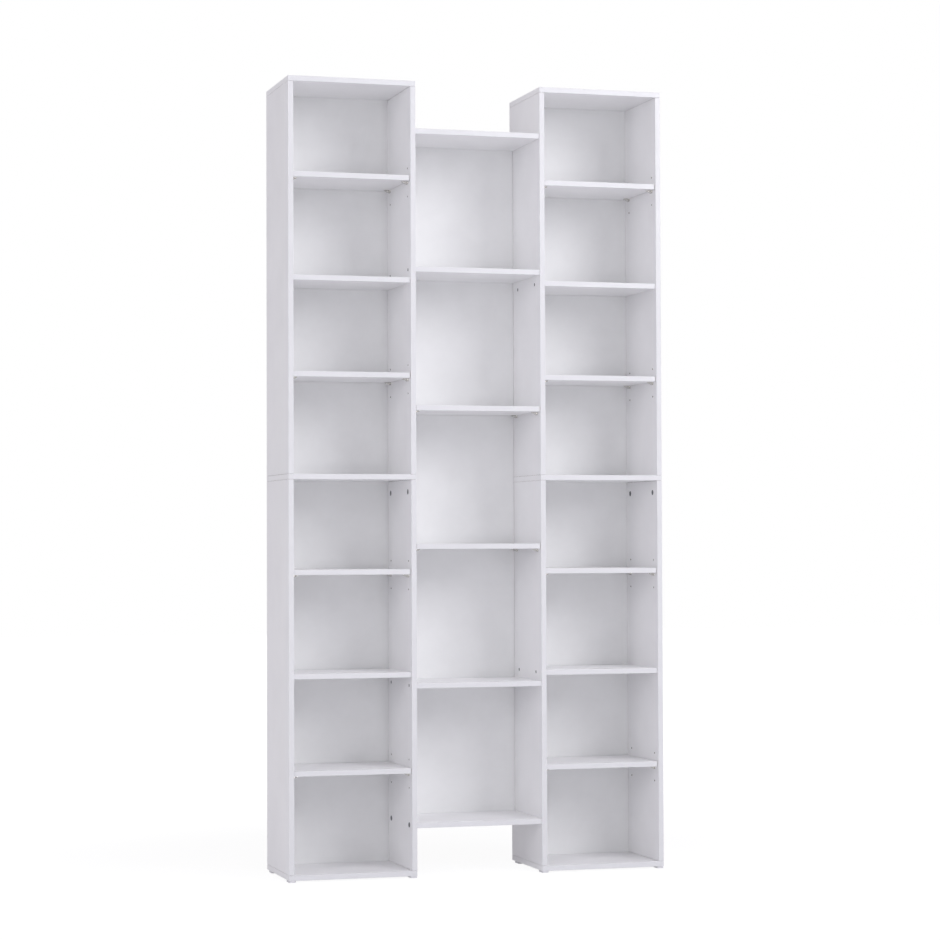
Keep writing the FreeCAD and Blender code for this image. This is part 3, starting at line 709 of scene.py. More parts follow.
@dataclass
class Hardware:
    """The small metal and plastic pieces, each modelled once, and the bits that drill their holes.

    A fastener is driven along its own +Z, and the surface that it goes into is at height 0.
    """

    sides: int = 24
    clearance: float = 0.1 * MM
    pin_diameter: float = 5 * MM
    pin_length: float = 9 * MM
    pin_hole_depth: float = 10 * MM
    pin_rise: float = 2.5 * MM
    pin_drop: float = 6 * MM
    pin_plate: float = 2 * MM
    pin_reach: float = 17 * MM
    pin_width: float = 11 * MM
    pin_foot: float = 3 * MM
    pin_web: float = 3 * MM
    pin_flange: float = 1.1 * MM
    pin_round: float = 0.35 * MM
    peg_chamfer: float = 0.6 * MM
    peg_overlap: float = 0.5 * MM
    cross_length: float = 5 * MM
    cross_width: float = 1.1 * MM
    cross_depth: float = 1.6 * MM
    cross_taper: float = 0.55
    cam_diameter: float = 15 * MM
    cam_height: float = 12 * MM
    cam_rim: float = 1.1 * MM
    cam_sink: float = 0.5 * MM
    cam_slope: float = 0.2 * MM
    cam_round: float = 0.3 * MM
    cam_cross_length: float = 7 * MM
    cam_cross_width: float = 1.7 * MM
    cam_cross_depth: float = 3 * MM
    cam_mark: float = 1.3 * MM
    cam_mark_inset: float = 1.6 * MM
    cam_mark_depth: float = 1 * MM
    socket: float = 4.6 * MM
    socket_depth: float = 2.2 * MM
    nut_diameter: float = 10 * MM
    nut_length: float = 12 * MM
    nut_chamfer: float = 0.4 * MM
    nut_sink: float = 0.2 * MM
    nut_slot_width: float = 1.3 * MM
    nut_slot_length: float = 7 * MM
    nut_slot_depth: float = 1.2 * MM
    nut_middle: float = 7.5 * MM
    foot_width: float = 20 * MM
    foot_length: float = 36 * MM
    foot_height: float = 5 * MM
    foot_corner: float = 5 * MM
    foot_hollow: float = 1.2 * MM
    foot_rim: float = 2.5 * MM
    foot_round: float = 0.7 * MM
    masters: dict[Fastener, Piece] = field(default_factory=dict)
    bits: dict[Bit, Piece] = field(default_factory=dict)

    def build(self) -> None:
        """Model each fastener and each bit once."""
        cross = self.cross(self.cross_length, self.cross_width, self.cross_depth)
        self.masters = {
            Fastener.PIN: self.make_pin(),
            Fastener.SCREW: self.make_driven(SCREW, self.sides, cross),
            Fastener.CAM: self.make_cam(),
            Fastener.LINK_BOLT: self.make_driven(LINK_BOLT, 2 * self.sides, self.hexagon()),
            Fastener.BARREL_NUT: self.make_barrel_nut(),
            Fastener.NAIL: self.make_driven(NAIL, self.sides),
            Fastener.FOOT: self.make_foot(),
        }
        holes = {
            Bit.PIN: (self.pin_diameter, self.pin_hole_depth),
            Bit.CAM: (self.cam_diameter, self.cam_height),
            Bit.LINK_BOLT: (LINK_BOLT.diameter, LINK_BOLT.length),
            Bit.BARREL_NUT: (self.nut_diameter, self.nut_length),
        }
        for bit, (diameter, depth) in holes.items():
            radius = diameter / 2 + self.clearance
            outline = [(radius, -MM), (radius, depth + self.clearance)]
            self.bits[bit] = add_turned(bit.value, outline, self.sides)
        for bit, driven in ((Bit.SCREW, SCREW), (Bit.NAIL, NAIL)):
            self.bits[bit] = add_turned(bit.value, driven.bit_outline(self.clearance), self.sides)

    def clear(self) -> None:
        """Remove the masters and the bits once all copies are made."""
        for master in (*self.masters.values(), *self.bits.values()):
            bpy.data.objects.remove(master, do_unlink=True)

    def cross(self, length: float, width: float, depth: float) -> Piece:
        """Make a cross-shaped tool for a driver recess.

        Args:
            length: The length of each arm.
            width: The width of each arm.
            depth: How deep the recess is.

        Returns:
            The tool, which starts a little outside the surface.
        """
        arms = []
        for half_x, half_y in ((length / 2, width / 2), (width / 2, length / 2)):
            arm = add_block("arm", (-half_x, -half_y, -MM), (half_x, half_y, depth))
            with picked(arm, Pick.FACES, lambda middle, normal: normal.z > SQUARE):
                taper = (self.cross_taper, self.cross_taper, 1)
                bpy.ops.transform.resize(value=taper, center_override=(0, 0, depth))
            arms.append(arm)
        combine(*arms, How.FUSE)
        return arms[0]

    def hexagon(self) -> Piece:
        """Make the tool for the hexagon socket in the connecting bolt's head.

        Returns:
            The tool, which starts a little outside the head.
        """
        radius = self.socket / 2
        top = LINK_BOLT.crown[0][1]
        return add_turned("hexagon", [(radius, top - MM), (radius, top + self.socket_depth)], sides=6)

    def make_driven(self, shape: Driven, sides: int, recess: Piece | None = None) -> Piece:
        """Turn a fastener and cut its driver recess.

        Args:
            shape: Its outline.
            sides: How many sides its circles have.
            recess: The tool for the recess, if it has one.

        Returns:
            The fastener.
        """
        piece = add_turned(shape.name, shape.outline(), sides)
        if recess:
            combine(piece, recess, How.CUT)
        smooth(piece)
        return piece

    def make_pin(self) -> Piece:
        """Model a plug-in shelf pin: a spoon on a web, with a peg that goes into the side.

        Returns:
            The pin.
        """
        half = self.pin_width / 2
        spoon = add_block("spoon", (-self.pin_drop, -half, -self.pin_reach), (self.pin_rise, half, 0))
        with picked(spoon, Pick.FACES, anything):
            bpy.ops.mesh.bisect(plane_co=(0, 0, -self.pin_foot), plane_no=(0, 0, 1))
        lift = self.pin_rise - self.pin_plate + self.pin_drop
        far_end = -self.pin_reach + MM
        with picked(spoon, Pick.POINTS, lambda middle, normal: middle.x < 0 and middle.z < far_end):
            bpy.ops.transform.translate(value=(lift, 0, 0))
        for side in (-1, 1):
            with picked(spoon, Pick.FACES, lambda middle, normal: normal.y * side > SQUARE):
                bpy.ops.mesh.inset(thickness=self.pin_flange)
                inwards = (0, -side * (half - self.pin_web / 2), 0)
                bpy.ops.mesh.extrude_region_move(TRANSFORM_OT_translate={"value": inwards})
        soften(spoon, self.pin_round, segments=2)
        radius = self.pin_diameter / 2
        end = self.pin_length
        chamfer = self.peg_chamfer
        outline = [(radius, -self.peg_overlap), (radius, end - chamfer), (radius - chamfer, end)]
        pin = join("pin", [spoon, add_turned("peg", outline, self.sides)])
        smooth(pin)
        return pin

    def make_cam(self) -> Piece:
        """Model an eccentric cam: a drum with a sunk face, a cross and a mark at the bolt's side.

        Returns:
            The cam.
        """
        radius = self.cam_diameter / 2 - self.clearance
        inner = radius - self.cam_rim
        outline = [
            (inner, self.cam_sink),
            (inner + self.cam_slope, 0),
            (radius - self.cam_round, 0),
            (radius, self.cam_round),
            (radius, self.cam_height),
        ]
        drum = add_turned("cam", outline, 2 * self.sides)
        cross = self.cross(self.cam_cross_length, self.cam_cross_width, self.cam_cross_depth)
        combine(drum, cross, How.CUT)
        depth = self.cam_mark_depth
        mark = add_turned("mark", [(self.cam_mark, -depth), (self.cam_mark, depth)], sides=3)
        # One corner of the mark then points at the bolt.
        mark.data.transform(Matrix.Rotation(math.radians(30), 4, "Z"))
        mark.data.transform(Matrix.Translation((inner - self.cam_mark_inset, 0, 0)))
        combine(drum, mark, How.CUT)
        smooth(drum)
        return drum

    def make_barrel_nut(self) -> Piece:
        """Model a cross nut: a drum with a screwdriver slot in its end and a hole across it.

        Returns:
            The nut.
        """
        radius = self.nut_diameter / 2
        chamfer = self.nut_chamfer
        top = self.nut_sink
        outline = [(radius - chamfer, top), (radius, top + chamfer), (radius, self.nut_length)]
        drum = add_turned("barrel_nut", outline, self.sides)
        half_x = self.nut_slot_length / 2
        half_y = self.nut_slot_width / 2
        slot = add_block("slot", (-half_x, -half_y, -MM), (half_x, half_y, self.nut_slot_depth))
        combine(drum, slot, How.CUT)
        hole = LINK_BOLT.diameter / 2 + self.clearance
        way = add_turned("way", [(hole, -self.nut_diameter), (hole, self.nut_diameter)], self.sides)
        way.data.transform(Place(0, 0, self.nut_middle, Way.RIGHT).matrix())
        combine(drum, way, How.CUT)
        smooth(drum)
        return drum

    def make_foot(self) -> Piece:
        """Model a low glide with round corners and a hollow sole. It is pushed up into the panel.

        Returns:
            The foot.
        """
        half_x = self.foot_width / 2
        half_y = self.foot_length / 2
        foot = add_block("foot", (-half_x, -half_y, -self.foot_height), (half_x, half_y, 0))
        soften(
            foot, self.foot_corner, segments=6, test=lambda middle, direction: abs(direction.z) > SQUARE
        )
        with picked(foot, Pick.FACES, lambda middle, normal: normal.z < -SQUARE):
            bpy.ops.mesh.inset(thickness=self.foot_rim)
            bpy.ops.mesh.extrude_region_move(TRANSFORM_OT_translate={"value": (0, 0, self.foot_hollow)})

        def at_rim(middle: Vector, direction: Vector) -> bool:
            """Pick the outer edges of the sole."""
            low = middle.z < self.clearance - self.foot_height
            return low and (
                abs(middle.x) > half_x - self.foot_rim or abs(middle.y) > half_y - self.foot_rim
            )

        soften(foot, self.foot_round, segments=3, test=at_rim)
        smooth(foot)
        return foot

    def drill(self, piece: Piece, drillings: list[Drilling]) -> None:
        """Drill holes in a board or a sheet.

        Args:
            piece: The board or sheet.
            drillings: Each bit with the places of its holes.
        """
        for bit, places in drillings:
            combine(piece, copies("holes", self.bits[bit], places), How.CUT)

    def place_set(
        self, node: str, kind: Fastener, places: list[Place], finish: Finish, slot: str
    ) -> None:
        """Copy a fastener to all its places, and put the set in the place of its node.

        Args:
            node: The node that holds the set.
            kind: The fastener.
            places: Where the copies go.
            finish: Their finish.
            slot: The record's material slot; not used.
        """
        whole = copies(f"{node}_set", self.masters[kind], places)
        whole.data.materials.clear()
        whole.data.materials.append(finish.material())
        hand_over(whole, node, CARCASS)


# Boards


class Coat(IntEnum):
    """What covers a face of a board, in the order of the board's materials."""

    MELAMINE = 0
    BAND = 1
    DRILLED = 2
    SAWN = 3


@dataclass
class Board:
    """A coated board, which takes its place and size from its node of the model.

    Its two large faces are coated, its front edge has an edge band, and the rest is coated too or bare
    chipboard. Faces inside holes, grooves and the hairlines get chipboard darkened as painted shade. The
    lower and upper ends of a jointed board stand back round a pad, so that the joint shows as a
    hairline.
    """

    node: str
    drillings: list[Drilling] = field(default_factory=list)
    grooves: list[tuple[Point, Point]] = field(default_factory=list)
    body: str = CARCASS
    ends_coated: bool = False
    jointed: bool = False
    edge: float = 0.7 * MM
    skin: float = 0.9 * MM
    hairline: float = 0.4 * MM
    hairline_depth: float = 1.0 * MM
    pad_share: float = 1.1
    band_slant: float = 0.3
    coat_slant: float = 0.2

    def build(self, hardware: Hardware) -> None:
        """Saw, groove, drill and dress the board.

        Args:
            hardware: The bits that drill it.
        """
        low, high = (Vector(corner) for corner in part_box(self.node))
        stand_back = Vector((0, 0, self.hairline if self.jointed else 0))
        board = add_block(f"{self.node}_board", low + stand_back, high - stand_back)
        soften(board, self.edge, segments=2)
        if self.jointed:
            self.add_pads(board)
        for groove in self.grooves:
            combine(board, add_block("groove", *groove), How.CUT)
        hardware.drill(board, self.drillings)
        # The third finish is the chipboard darkened as painted shade for holes, grooves and hairlines.
        for finish in (MELAMINE, EDGE_BAND, CHIPBOARD_WITH_PAINTED_SHADE, SAWN_CHIPBOARD):
            board.data.materials.append(finish.material())
        for face in board.data.polygons:
            face.material_index = self.coat(face, low, high)
        hand_over(board, self.node, self.body)

    def add_pads(self, board: Piece) -> None:
        """Raise the middle of both ends until it meets the boards there.

        Args:
            board: The board, shorter by a hairline at each end.
        """
        for end in (-1, 1):
            with picked(board, Pick.FACES, lambda middle, normal: normal.z * end > SQUARE):
                bpy.ops.mesh.inset(thickness=self.hairline_depth)
                step = (0, 0, end * self.hairline)
                bpy.ops.mesh.extrude_region_move(TRANSFORM_OT_translate={"value": step})

    def coat(self, face: bpy.types.MeshPolygon, low: Vector, high: Vector) -> Coat:
        """Find what covers a face.

        Args:
            face: The face.
            low: The board's lowest corner.
            high: Its highest corner.

        Returns:
            The coat, the band or one of the two kinds of bare chipboard: the one darkened as painted
            shade inside holes, grooves and hairlines, and the pale sawn one.
        """
        axes = range(3)
        middle = face.center
        pad = self.pad_share * self.hairline
        on_pad = self.jointed and not low.z + pad < middle.z < high.z - pad
        # Faces inside the blank, in holes, grooves and round the pads, get chipboard darkened as painted
        # shade.
        if on_pad or all(low[axis] + self.skin < middle[axis] < high[axis] - self.skin for axis in axes):
            return Coat.DRILLED
        if -face.normal.y > self.band_slant:
            return Coat.BAND
        thin = min(axes, key=lambda axis: high[axis] - low[axis])
        coated = self.ends_coated or abs(face.normal[thin]) > self.coat_slant
        return Coat.MELAMINE if coated else Coat.SAWN


@dataclass
class BackSheet:
    """A hardboard back: painted in front and on its edges, bare behind."""

    node: str
    drillings: list[Drilling] = field(default_factory=list)
    edge: float = 0.25 * MM
    bare_slant: float = 0.5

    def build(self, hardware: Hardware) -> None:
        """Saw, drill and dress the sheet.

        Args:
            hardware: The bits that drill it.
        """
        low, high = (Vector(corner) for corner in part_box(self.node))
        sheet = add_block(f"{self.node}_sheet", low, high)
        soften(sheet, self.edge, segments=1)
        hardware.drill(sheet, self.drillings)
        for finish in (PAINTED_HARDBOARD, BARE_HARDBOARD):
            sheet.data.materials.append(finish.material())
        for face in sheet.data.polygons:
            face.material_index = int(face.normal.y > self.bare_slant)
        hand_over(sheet, self.node, CARCASS)


@dataclass(frozen=True)
class Rows:
    """The front and rear rows of each kind of fixing.

    They are measured from the front of the towers and from the face of the backs.
    """

    front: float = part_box("left_top_panel")[0][1]
    back_face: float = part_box("left_upper_back")[0][1]
    centre_rear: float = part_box("centre_top_panel")[1][1]
    pins: tuple[float, float] = (32 * MM, 33 * MM)
    panel_screws: tuple[float, float] = (62 * MM, 59 * MM)
    shelf_screws: tuple[float, float] = (52 * MM, 47 * MM)
    cams: tuple[float, float] = (38 * MM, 31 * MM)
    centre_fixings: tuple[float, float] = (30 * MM, 28 * MM)

    def along(self, insets: tuple[float, float]) -> tuple[float, float]:
        """The two places along Y of a row pair in a tower."""
        return self.front + insets[0], self.back_face - insets[1]

    def along_centre(self) -> tuple[float, float]:
        """The two places along Y of the centre stack's fixings."""
        return self.front + self.centre_fixings[0], self.centre_rear - self.centre_fixings[1]


# The screwed and the loose centre shelf beside each half of the towers.
CENTRE_SHELVES = {
    Unit.UPPER: ("centre_shelf_1", "centre_shelf_2"),
    Unit.LOWER: ("centre_shelf_4", "centre_shelf_3"),
}


@dataclass
class Tower:
    """One tower: panels, sides, fixed and loose shelves, backs and their fixings."""

    side: Side
    hardware: Hardware
    rows: Rows
    pin_pitch: float = 40 * MM
    cam_reach: float = 34 * MM
    groove_gap: float = 0.2 * MM
    loose: tuple[str, ...] = ("loose_shelf_1", "loose_shelf_2", "loose_shelf_3", "loose_shelf_4")

    def node(self, name: str) -> str:
        """The model's name of one of this tower's pieces."""
        return f"{self.side.word}_{name}"

    def wall_middle(self, wall: Wall) -> float:
        """The X of the middle of the inner or outer sides."""
        low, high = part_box(self.node(f"upper_{wall}_side"))
        return (low[0] + high[0]) / 2

    def inside_face(self, wall: Wall) -> float:
        """Find the face of the inner or outer sides that looks into this tower.

        Args:
            wall: The inner or outer sides.

        Returns:
            The face's X.
        """
        low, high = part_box(self.node(f"upper_{wall}_side"))
        far = (wall is Wall.INNER) == (self.side is Side.RIGHT)
        return high[0] if far else low[0]

    def bay_face(self) -> float:
        """The X of the face of the inner sides that looks into the centre bay."""
        low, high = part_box(self.node("upper_inner_side"))
        return low[0] if self.side is Side.RIGHT else high[0]

    def into(self, wall: Wall) -> Way:
        """The way from inside this tower into its inner or outer sides."""
        return self.side.inward if wall is Wall.INNER else self.side.outward

    # Places

    def row(self, x: float, insets: tuple[float, float], z: float, way: Way) -> list[Place]:
        """The front and the rear place of one kind of fixing."""
        return [Place(x, y, z, way) for y in self.rows.along(insets)]

    def at_walls(self, method: Callable[..., list[Place]], *names: object) -> list[Place]:
        """The places of one kind of fixing at the inner and the outer sides."""
        return [place for wall in Wall for place in method(*names, wall)]

    def pin_places(self, shelf: str, steps: tuple[int, ...], wall: Wall) -> list[Place]:
        """Find the pins or holes under one loose shelf.

        Args:
            shelf: The loose shelf.
            steps: Steps of the pitch up and down from the shelf's own holes.
            wall: The inner or outer sides.

        Returns:
            The places.
        """
        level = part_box(self.node(shelf))[0][2] - self.hardware.pin_rise
        x = self.inside_face(wall)
        heights = [level + step * self.pin_pitch for step in steps]
        return [place for z in heights for place in self.row(x, self.rows.pins, z, self.into(wall))]

    def panel_screw_places(self, panel: Panel, wall: Wall) -> list[Place]:
        """Find the screws through a panel into the ends of the inner or outer sides.

        Args:
            panel: The panel.
            wall: The inner or outer sides.

        Returns:
            The places.
        """
        low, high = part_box(self.node(f"{panel}_panel"))
        z, way = (high[2], Way.DOWN) if panel is Panel.TOP else (low[2], Way.UP)
        return self.row(self.wall_middle(wall), self.rows.panel_screws, z, way)

    def shelf_screw_places(self, unit: Unit) -> list[Place]:
        """Screws from the centre bay into a fixed shelf."""
        z = middle_height(self.node(f"{unit}_fixed_shelf"))
        return self.row(self.bay_face(), self.rows.shelf_screws, z, self.side.outward)

    def centre_screw_places(self, board: str) -> list[Place]:
        """Screws or bolts from inside the tower into a centre board."""
        x, z = self.inside_face(Wall.INNER), middle_height(board)
        return [Place(x, y, z, self.side.inward) for y in self.rows.along_centre()]

    def cam_places(self, wall: Wall) -> list[Place]:
        """Cams near the top of the lower sides."""
        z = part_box(self.node("mid_panel"))[0][2] - self.cam_reach
        return self.row(self.inside_face(wall), self.rows.cams, z, self.into(wall))

    def centre_pin_places(self, shelf: str) -> list[Place]:
        """Pins in the centre bay under one loose centre shelf."""
        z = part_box(shelf)[0][2] - self.hardware.pin_rise
        return self.row(self.bay_face(), self.rows.pins, z, self.side.outward)

    def foot_places(self) -> list[Place]:
        """Find the feet under the corners, from the box of the model's feet and of the bottom panel.

        Returns:
            The places.
        """
        low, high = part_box(self.node("feet"))
        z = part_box(self.node("bottom_panel"))[0][2]
        half_x = self.hardware.foot_width / 2
        half_y = self.hardware.foot_length / 2
        xs = (low[0] + half_x, high[0] - half_x)
        ys = (low[1] + half_y, high[1] - half_y)
        return [Place(x, y, z, Way.UP) for x in xs for y in ys]

    def back_groove(self, unit: Unit) -> tuple[Point, Point]:
        """Find the space that a back needs in the boards round it.

        Args:
            unit: Upper or lower.

        Returns:
            Its lowest and highest corner.
        """
        low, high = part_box(self.node(f"{unit}_back"))
        gap = Vector((self.groove_gap,) * 3)
        return tuple(Vector(low) - gap), tuple(Vector(high) + gap)

    # Building

    def build_panels(self) -> None:
        """The top, mid and bottom panels, whose ends and rear edges are white too."""
        units_beside = ((Unit.UPPER,), (Unit.UPPER, Unit.LOWER), (Unit.LOWER,))
        for panel, units in zip(Panel, units_beside):
            drillings = [(Bit.SCREW, self.at_walls(self.panel_screw_places, panel))]
            grooves = [self.back_groove(unit) for unit in units]
            board = Board(self.node(f"{panel}_panel"), drillings, grooves, ends_coated=True)
            board.build(self.hardware)

    def build_side(self, unit: Unit, wall: Wall) -> None:
        """One side, with its pin holes and the holes of what is fixed to it.

        Args:
            unit: Upper or lower.
            wall: Inner or outer.
        """
        is_lower = unit is Unit.LOWER
        shelves = self.loose[2:] if is_lower else self.loose[:2]
        pins = [place for shelf in shelves for place in self.pin_places(shelf, (-1, 0, 1), wall)]
        ends = (Panel.BOTTOM,) if is_lower else (Panel.TOP, Panel.MID)
        screws = [place for end in ends for place in self.panel_screw_places(end, wall)]
        drillings = [(Bit.PIN, pins), (Bit.SCREW, screws)]
        if is_lower:
            drillings.append((Bit.CAM, self.cam_places(wall)))
        if wall is Wall.INNER:
            screwed, loose = CENTRE_SHELVES[unit]
            shelf_screws = self.shelf_screw_places(unit) + self.centre_screw_places(screwed)
            drillings.append((Bit.SCREW, shelf_screws))
            drillings.append((Bit.PIN, self.centre_pin_places(loose)))
            if is_lower:
                drillings.append((Bit.LINK_BOLT, self.centre_screw_places("centre_bottom_panel")))
        node = self.node(f"{unit}_{wall}_side")
        board = Board(node, drillings, [self.back_groove(unit)], ends_coated=True, jointed=True)
        board.build(self.hardware)

    def build_fixings(self) -> None:
        """The sets of pins, screws, cams and feet, and the finish of what stays hidden in the boards."""
        pins = [place for shelf in self.loose for place in self.at_walls(self.pin_places, shelf, (0,))]
        panel_screws = [
            place for panel in Panel for place in self.at_walls(self.panel_screw_places, panel)
        ]
        shelf_screws = [place for unit in Unit for place in self.shelf_screw_places(unit)]
        for screwed, _ in CENTRE_SHELVES.values():
            shelf_screws += self.centre_screw_places(screwed)
        cams = self.at_walls(self.cam_places)
        place_set = self.hardware.place_set
        place_set(self.node("shelf_pins"), Fastener.PIN, pins, NICKEL, "nickel_pin")
        place_set(self.node("panel_screws"), Fastener.SCREW, panel_screws, ZINC_PLATE, "zinc_screw")
        place_set(self.node("shelf_screws"), Fastener.SCREW, shelf_screws, DARK_ZINC_PLATE, "zinc_screw")
        place_set(self.node("cam_discs"), Fastener.CAM, cams, CAST_ZINC, "zinc_cam")
        place_set(self.node("feet"), Fastener.FOOT, self.foot_places(), FOOT_PLASTIC, "foot_plastic")
        dress_node(self.node("dowels"), BEECH)
        dress_node(self.node("cam_bolts"), ZINC_PLATE)

    def build(self) -> None:
        """All of the tower's pieces."""
        self.build_panels()
        for unit in Unit:
            for wall in Wall:
                self.build_side(unit, wall)
            screws = [(Bit.SCREW, self.shelf_screw_places(unit))]
            Board(self.node(f"{unit}_fixed_shelf"), screws).build(self.hardware)
            BackSheet(self.node(f"{unit}_back")).build(self.hardware)
        for shelf in self.loose:
            Board(self.node(shelf), body=self.node(shelf)).build(self.hardware)
        self.build_fixings()


@dataclass
class CentreStack:
    """The six boards between the towers, with three backs and their fixings.

    Each back is nailed to the board below it and the board above it.
    """

    towers: tuple[Tower, Tower]
    hardware: Hardware
    rows: Rows
    nut_reach: float = 35 * MM
    nail_inset: float = 60 * MM
    nail_offset: float = 4 * MM
    backs: tuple[tuple[str, str, str], ...] = (
        ("centre_upper_back", "centre_shelf_1", "centre_top_panel"),
        ("centre_middle_back", "centre_shelf_4", "centre_shelf_1"),
        ("centre_lower_back", "centre_bottom_panel", "centre_shelf_4"),
    )

    def both(self, method: Callable[..., list[Place]], *names: str) -> list[Place]:
        """The places of one kind of fixing in both towers."""
        return [place for tower in self.towers for place in method(tower, *names)]

    def face_places(self, z: float, reach: float, ways: tuple[Way, Way]) -> list[Place]:
        """Find the fixings in the top or the underside of a board.

        Args:
            z: The height of that face.
            reach: How far they are from the towers.
            ways: How they are driven next to the left and to the right tower.

        Returns:
            The places.
        """
        places = []
        for tower, way in zip(self.towers, ways):
            x = tower.bay_face() - tower.side.value * reach
            places += [Place(x, y, z, way) for y in self.rows.along_centre()]
        return places

    def nail_places(self, back: str, board: str) -> list[Place]:
        """Find the nails of one back in the rear edge of one board.

        Args:
            back: The back.
            board: The board. Two backs share the edge of a screwed shelf.

        Returns:
            The places.
        """
        low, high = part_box(back)
        z = middle_height(board)
        if board in [screwed for screwed, _ in CENTRE_SHELVES.values()]:
            above = (low[2] + high[2]) / 2 > z
            z += self.nail_offset if above else -self.nail_offset
        half = abs(self.towers[0].bay_face()) - self.nail_inset
        return [Place(x, high[1], z, Way.FRONT) for x in (-half, half)]

    def build(self) -> None:
        """All of the stack's pieces."""
        nails: dict[str, list[Place]] = {}
        back_nails: list[Place] = []
        for back, *boards in self.backs:
            own = {board: self.nail_places(back, board) for board in boards}
            in_back = [place for places in own.values() for place in places]
            BackSheet(back, [(Bit.NAIL, in_back)]).build(self.hardware)
            back_nails += in_back
            for board, places in own.items():
                nails.setdefault(board, []).extend(places)
        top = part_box("centre_top_panel")[1][2]
        cams = self.face_places(top, self.towers[0].cam_reach, (Way.DOWN_MIRRORED, Way.DOWN))
        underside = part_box("centre_bottom_panel")[0][2]
        nuts = self.face_places(underside, self.nut_reach, (Way.UP, Way.UP))
        links = self.both(Tower.centre_screw_places, "centre_bottom_panel")
        fixings = {
            "centre_top_panel": [(Bit.CAM, cams)],
            "centre_bottom_panel": [(Bit.LINK_BOLT, links), (Bit.BARREL_NUT, nuts)],
        }
        pins: list[Place] = []
        for screwed, loose in CENTRE_SHELVES.values():
            fixings[screwed] = [(Bit.SCREW, self.both(Tower.centre_screw_places, screwed))]
            pins += self.both(Tower.centre_pin_places, loose)
        for board, drillings in fixings.items():
            Board(board, drillings + [(Bit.NAIL, nails[board])]).build(self.hardware)
        for _, loose in CENTRE_SHELVES.values():
            Board(loose, body=loose).build(self.hardware)
        place_set = self.hardware.place_set
        place_set("centre_shelf_pins", Fastener.PIN, pins, NICKEL, "nickel_pin")
        place_set("centre_cam_discs", Fastener.CAM, cams, CAST_ZINC, "zinc_cam")
        place_set("centre_link_bolts", Fastener.LINK_BOLT, links, DARK_ZINC_PLATE, "zinc_bolt")
        place_set("centre_barrel_nuts", Fastener.BARREL_NUT, nuts, ZINC_PLATE, "zinc_bolt")
        place_set("centre_back_nails", Fastener.NAIL, back_nails, ZINC_PLATE, "zinc_screw")
        dress_node("centre_cam_bolts", ZINC_PLATE)


# Studio


@dataclass(frozen=True)
class Lamp:
    """A soft square lamp, aimed at the middle of the bookshelf. Its power is in watts."""

    name: str
    place: Point
    size: float
    power: float
    colour: str = "FDFCFF"
    aim: Point = (0.0, 0.0, 1.2)

    def hang(self) -> None:
        """Put the lamp in the room."""
        data = bpy.data.lights.new(self.name, "AREA")
        data.shape = "SQUARE"
        data.size = self.size
        data.energy = self.power
        data.color = linear(self.colour)[:3]
        lamp = bpy.data.objects.new(self.name, data)
        turn = (Vector(self.aim) - Vector(self.place)).to_track_quat("-Z", "Y").to_matrix().to_4x4()
        lamp.matrix_world = Matrix.Translation(self.place) @ turn
        bpy.context.collection.objects.link(lamp)


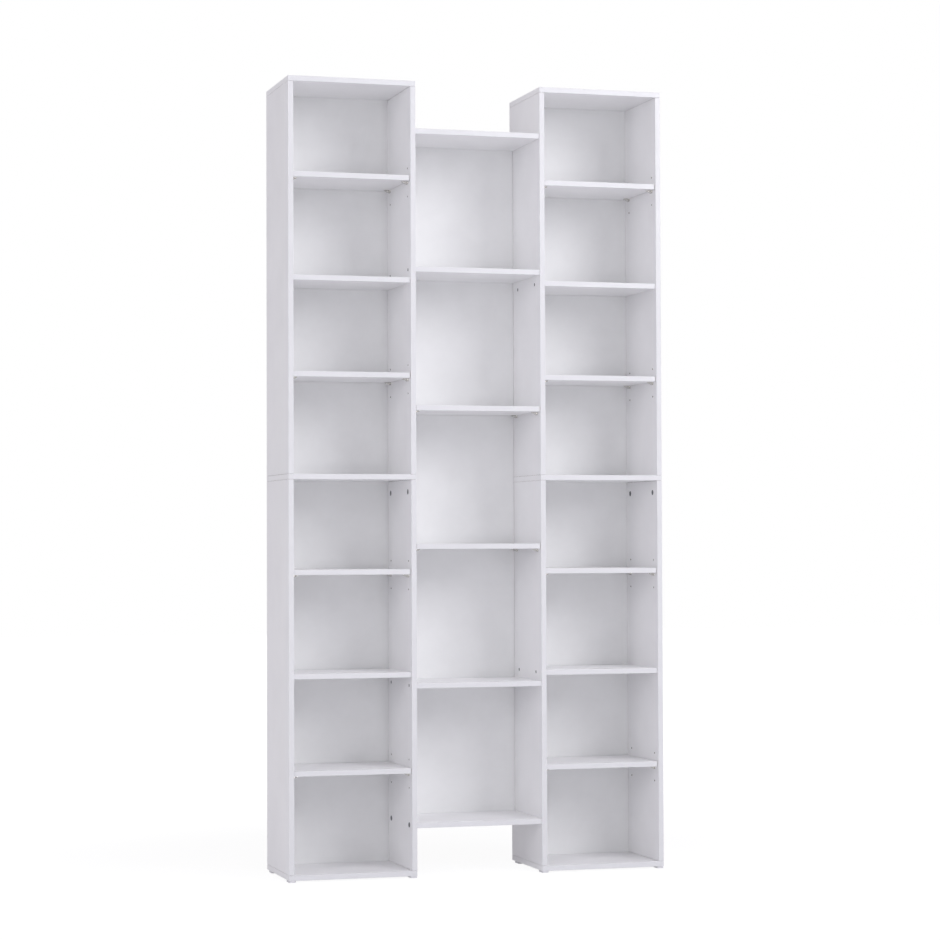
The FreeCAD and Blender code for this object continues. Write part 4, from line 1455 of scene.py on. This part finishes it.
@dataclass
class Studio:
    """A white room with soft light, and the camera at the photograph's place."""

    camera_place: Point = (-2.1756, -7.4026, 0.9354)
    yaw: float = -16.502
    pitch: float = 1.596
    roll: float = -0.192
    lens: float = 102.148
    sensor: float = 36.0
    shift: float = 0.5 / 940
    white: str = "FFFFFF"
    room_colour: str = "F9F5FF"
    ambient: float = 0.453
    floor_colour: str = "F2F2F4"
    floor_size: float = 40.0
    floor_drop: float = 0.2 * MM
    floor_white: float = 1.07
    floor_show: float = 0.86
    floor_near: float = 0.9
    floor_far: float = 2.5
    lamps: tuple[Lamp, ...] = (
        Lamp("key_light", (3.3, -5.0, 3.7), size=3.0, power=160.0),
        Lamp("fill_light", (-4.9, -4.1, 2.33), size=3.0, power=75.5, colour="FFFDFF"),
        Lamp("low_light", (0.0, -6.4, 0.55), size=0.9, power=25.0),
        Lamp("top_light", (0.0, -3.6, 5.6), size=3.0, power=42.0),
    )

    def build(self) -> None:
        """Set up the room, its light and the camera."""
        bpy.context.scene.view_settings.view_transform = "Standard"
        self.add_camera()
        self.add_world()
        self.add_floor()
        for lamp in self.lamps:
            lamp.hang()

    def add_camera(self) -> None:
        """The camera that the photograph's edges give."""
        data = bpy.data.cameras.new("photo_camera")
        data.sensor_fit = "HORIZONTAL"
        data.sensor_width = self.sensor
        data.lens = self.lens
        data.shift_x = -self.shift
        data.shift_y = self.shift
        camera = bpy.data.objects.new("photo_camera", data)
        # An unturned camera looks straight down, so it is tilted up by 90 degrees too.
        turn = Matrix.Rotation(math.radians(self.yaw), 4, "Z")
        turn @= Matrix.Rotation(math.radians(90 + self.pitch), 4, "X")
        turn @= Matrix.Rotation(math.radians(self.roll), 4, "Z")
        camera.matrix_world = Matrix.Translation(self.camera_place) @ turn
        bpy.context.collection.objects.link(camera)
        bpy.context.scene.camera = camera

    def seen_directly(self, tree: Tree) -> Socket:
        """Add a share that is 1 for what the camera sees, also in metal and through glass.

        Args:
            tree: The tree of the world or a material.

        Returns:
            The share's output.
        """
        path = add_node(tree, "ShaderNodeLightPath", {}, {})
        share = path.outputs["Is Camera Ray"]
        for ray in ("Is Glossy Ray", "Is Transmission Ray"):
            links = {0: share, 1: path.outputs[ray]}
            share = add_node(tree, "ShaderNodeMath", {"operation": "MAXIMUM"}, links).outputs[0]
        return share

    def add_world(self) -> None:
        """A room that looks white and lights softly."""
        world = bpy.data.worlds.new("white_room")
        bpy.context.scene.world = world
        world.use_nodes = True
        tree = world.node_tree
        tree.nodes.clear()
        light = add_node(
            tree, "ShaderNodeBackground",
            {"Color": linear(self.room_colour), "Strength": self.ambient}, {},
        )
        shown = add_node(
            tree, "ShaderNodeBackground", {"Color": linear(self.white), "Strength": 1.0}, {}
        )
        mixed = add_node(
            tree, "ShaderNodeMixShader", {},
            {0: self.seen_directly(tree), 1: light.outputs[0], 2: shown.outputs[0]},
        )
        add_node(tree, "ShaderNodeOutputWorld", {}, {"Surface": mixed.outputs[0]})

    def add_floor(self) -> None:
        """A pale floor that keeps a faint shadow."""
        select_only()
        bpy.ops.mesh.primitive_plane_add(size=self.floor_size, location=(0, 0, -self.floor_drop))
        floor = bpy.context.object
        floor.name = "studio_floor"
        bpy.ops.object.transform_apply(location=True, rotation=True, scale=True)
        material = bpy.data.materials.new("pale_studio_floor")
        material.use_nodes = True
        tree = material.node_tree
        tree.nodes.clear()
        matt = add_node(tree, "ShaderNodeBsdfDiffuse", {"Color": linear(self.floor_colour)}, {})
        place = add_node(tree, "ShaderNodeTexCoord", {}, {})
        reach = add_node(
            tree, "ShaderNodeVectorMath", {"operation": "LENGTH"}, {0: place.outputs["Object"]}
        )
        fade = add_node(
            tree, "ShaderNodeMapRange",
            {
                "interpolation_type": "SMOOTHSTEP",
                "From Min": self.floor_near, "From Max": self.floor_far,
                "To Min": self.floor_show, "To Max": 1.0,
            },
            {"Value": reach.outputs["Value"]},
        )
        white = add_node(
            tree, "ShaderNodeEmission", {"Color": linear(self.white), "Strength": self.floor_white}, {}
        )
        share = add_node(
            tree, "ShaderNodeMath", {"operation": "MULTIPLY"},
            {0: fade.outputs[0], 1: self.seen_directly(tree)},
        )
        mixed = add_node(
            tree, "ShaderNodeMixShader", {},
            {0: share.outputs[0], 1: matt.outputs[0], 2: white.outputs[0]},
        )
        add_node(tree, "ShaderNodeOutputMaterial", {}, {"Surface": mixed.outputs[0]})
        floor.data.materials.append(material)


def main() -> None:
    """Build the bookshelf and its studio."""
    logging.basicConfig(level=logging.INFO, format="%(name)s: %(message)s")
    Studio().build()
    hardware = Hardware()
    hardware.build()
    rows = Rows()
    left = Tower(Side.LEFT, hardware, rows)
    right = Tower(Side.RIGHT, hardware, rows)
    left.build()
    right.build()
    CentreStack((left, right), hardware, rows).build()
    hardware.clear()
    select_only()


if __name__ == "__main__":
    main()
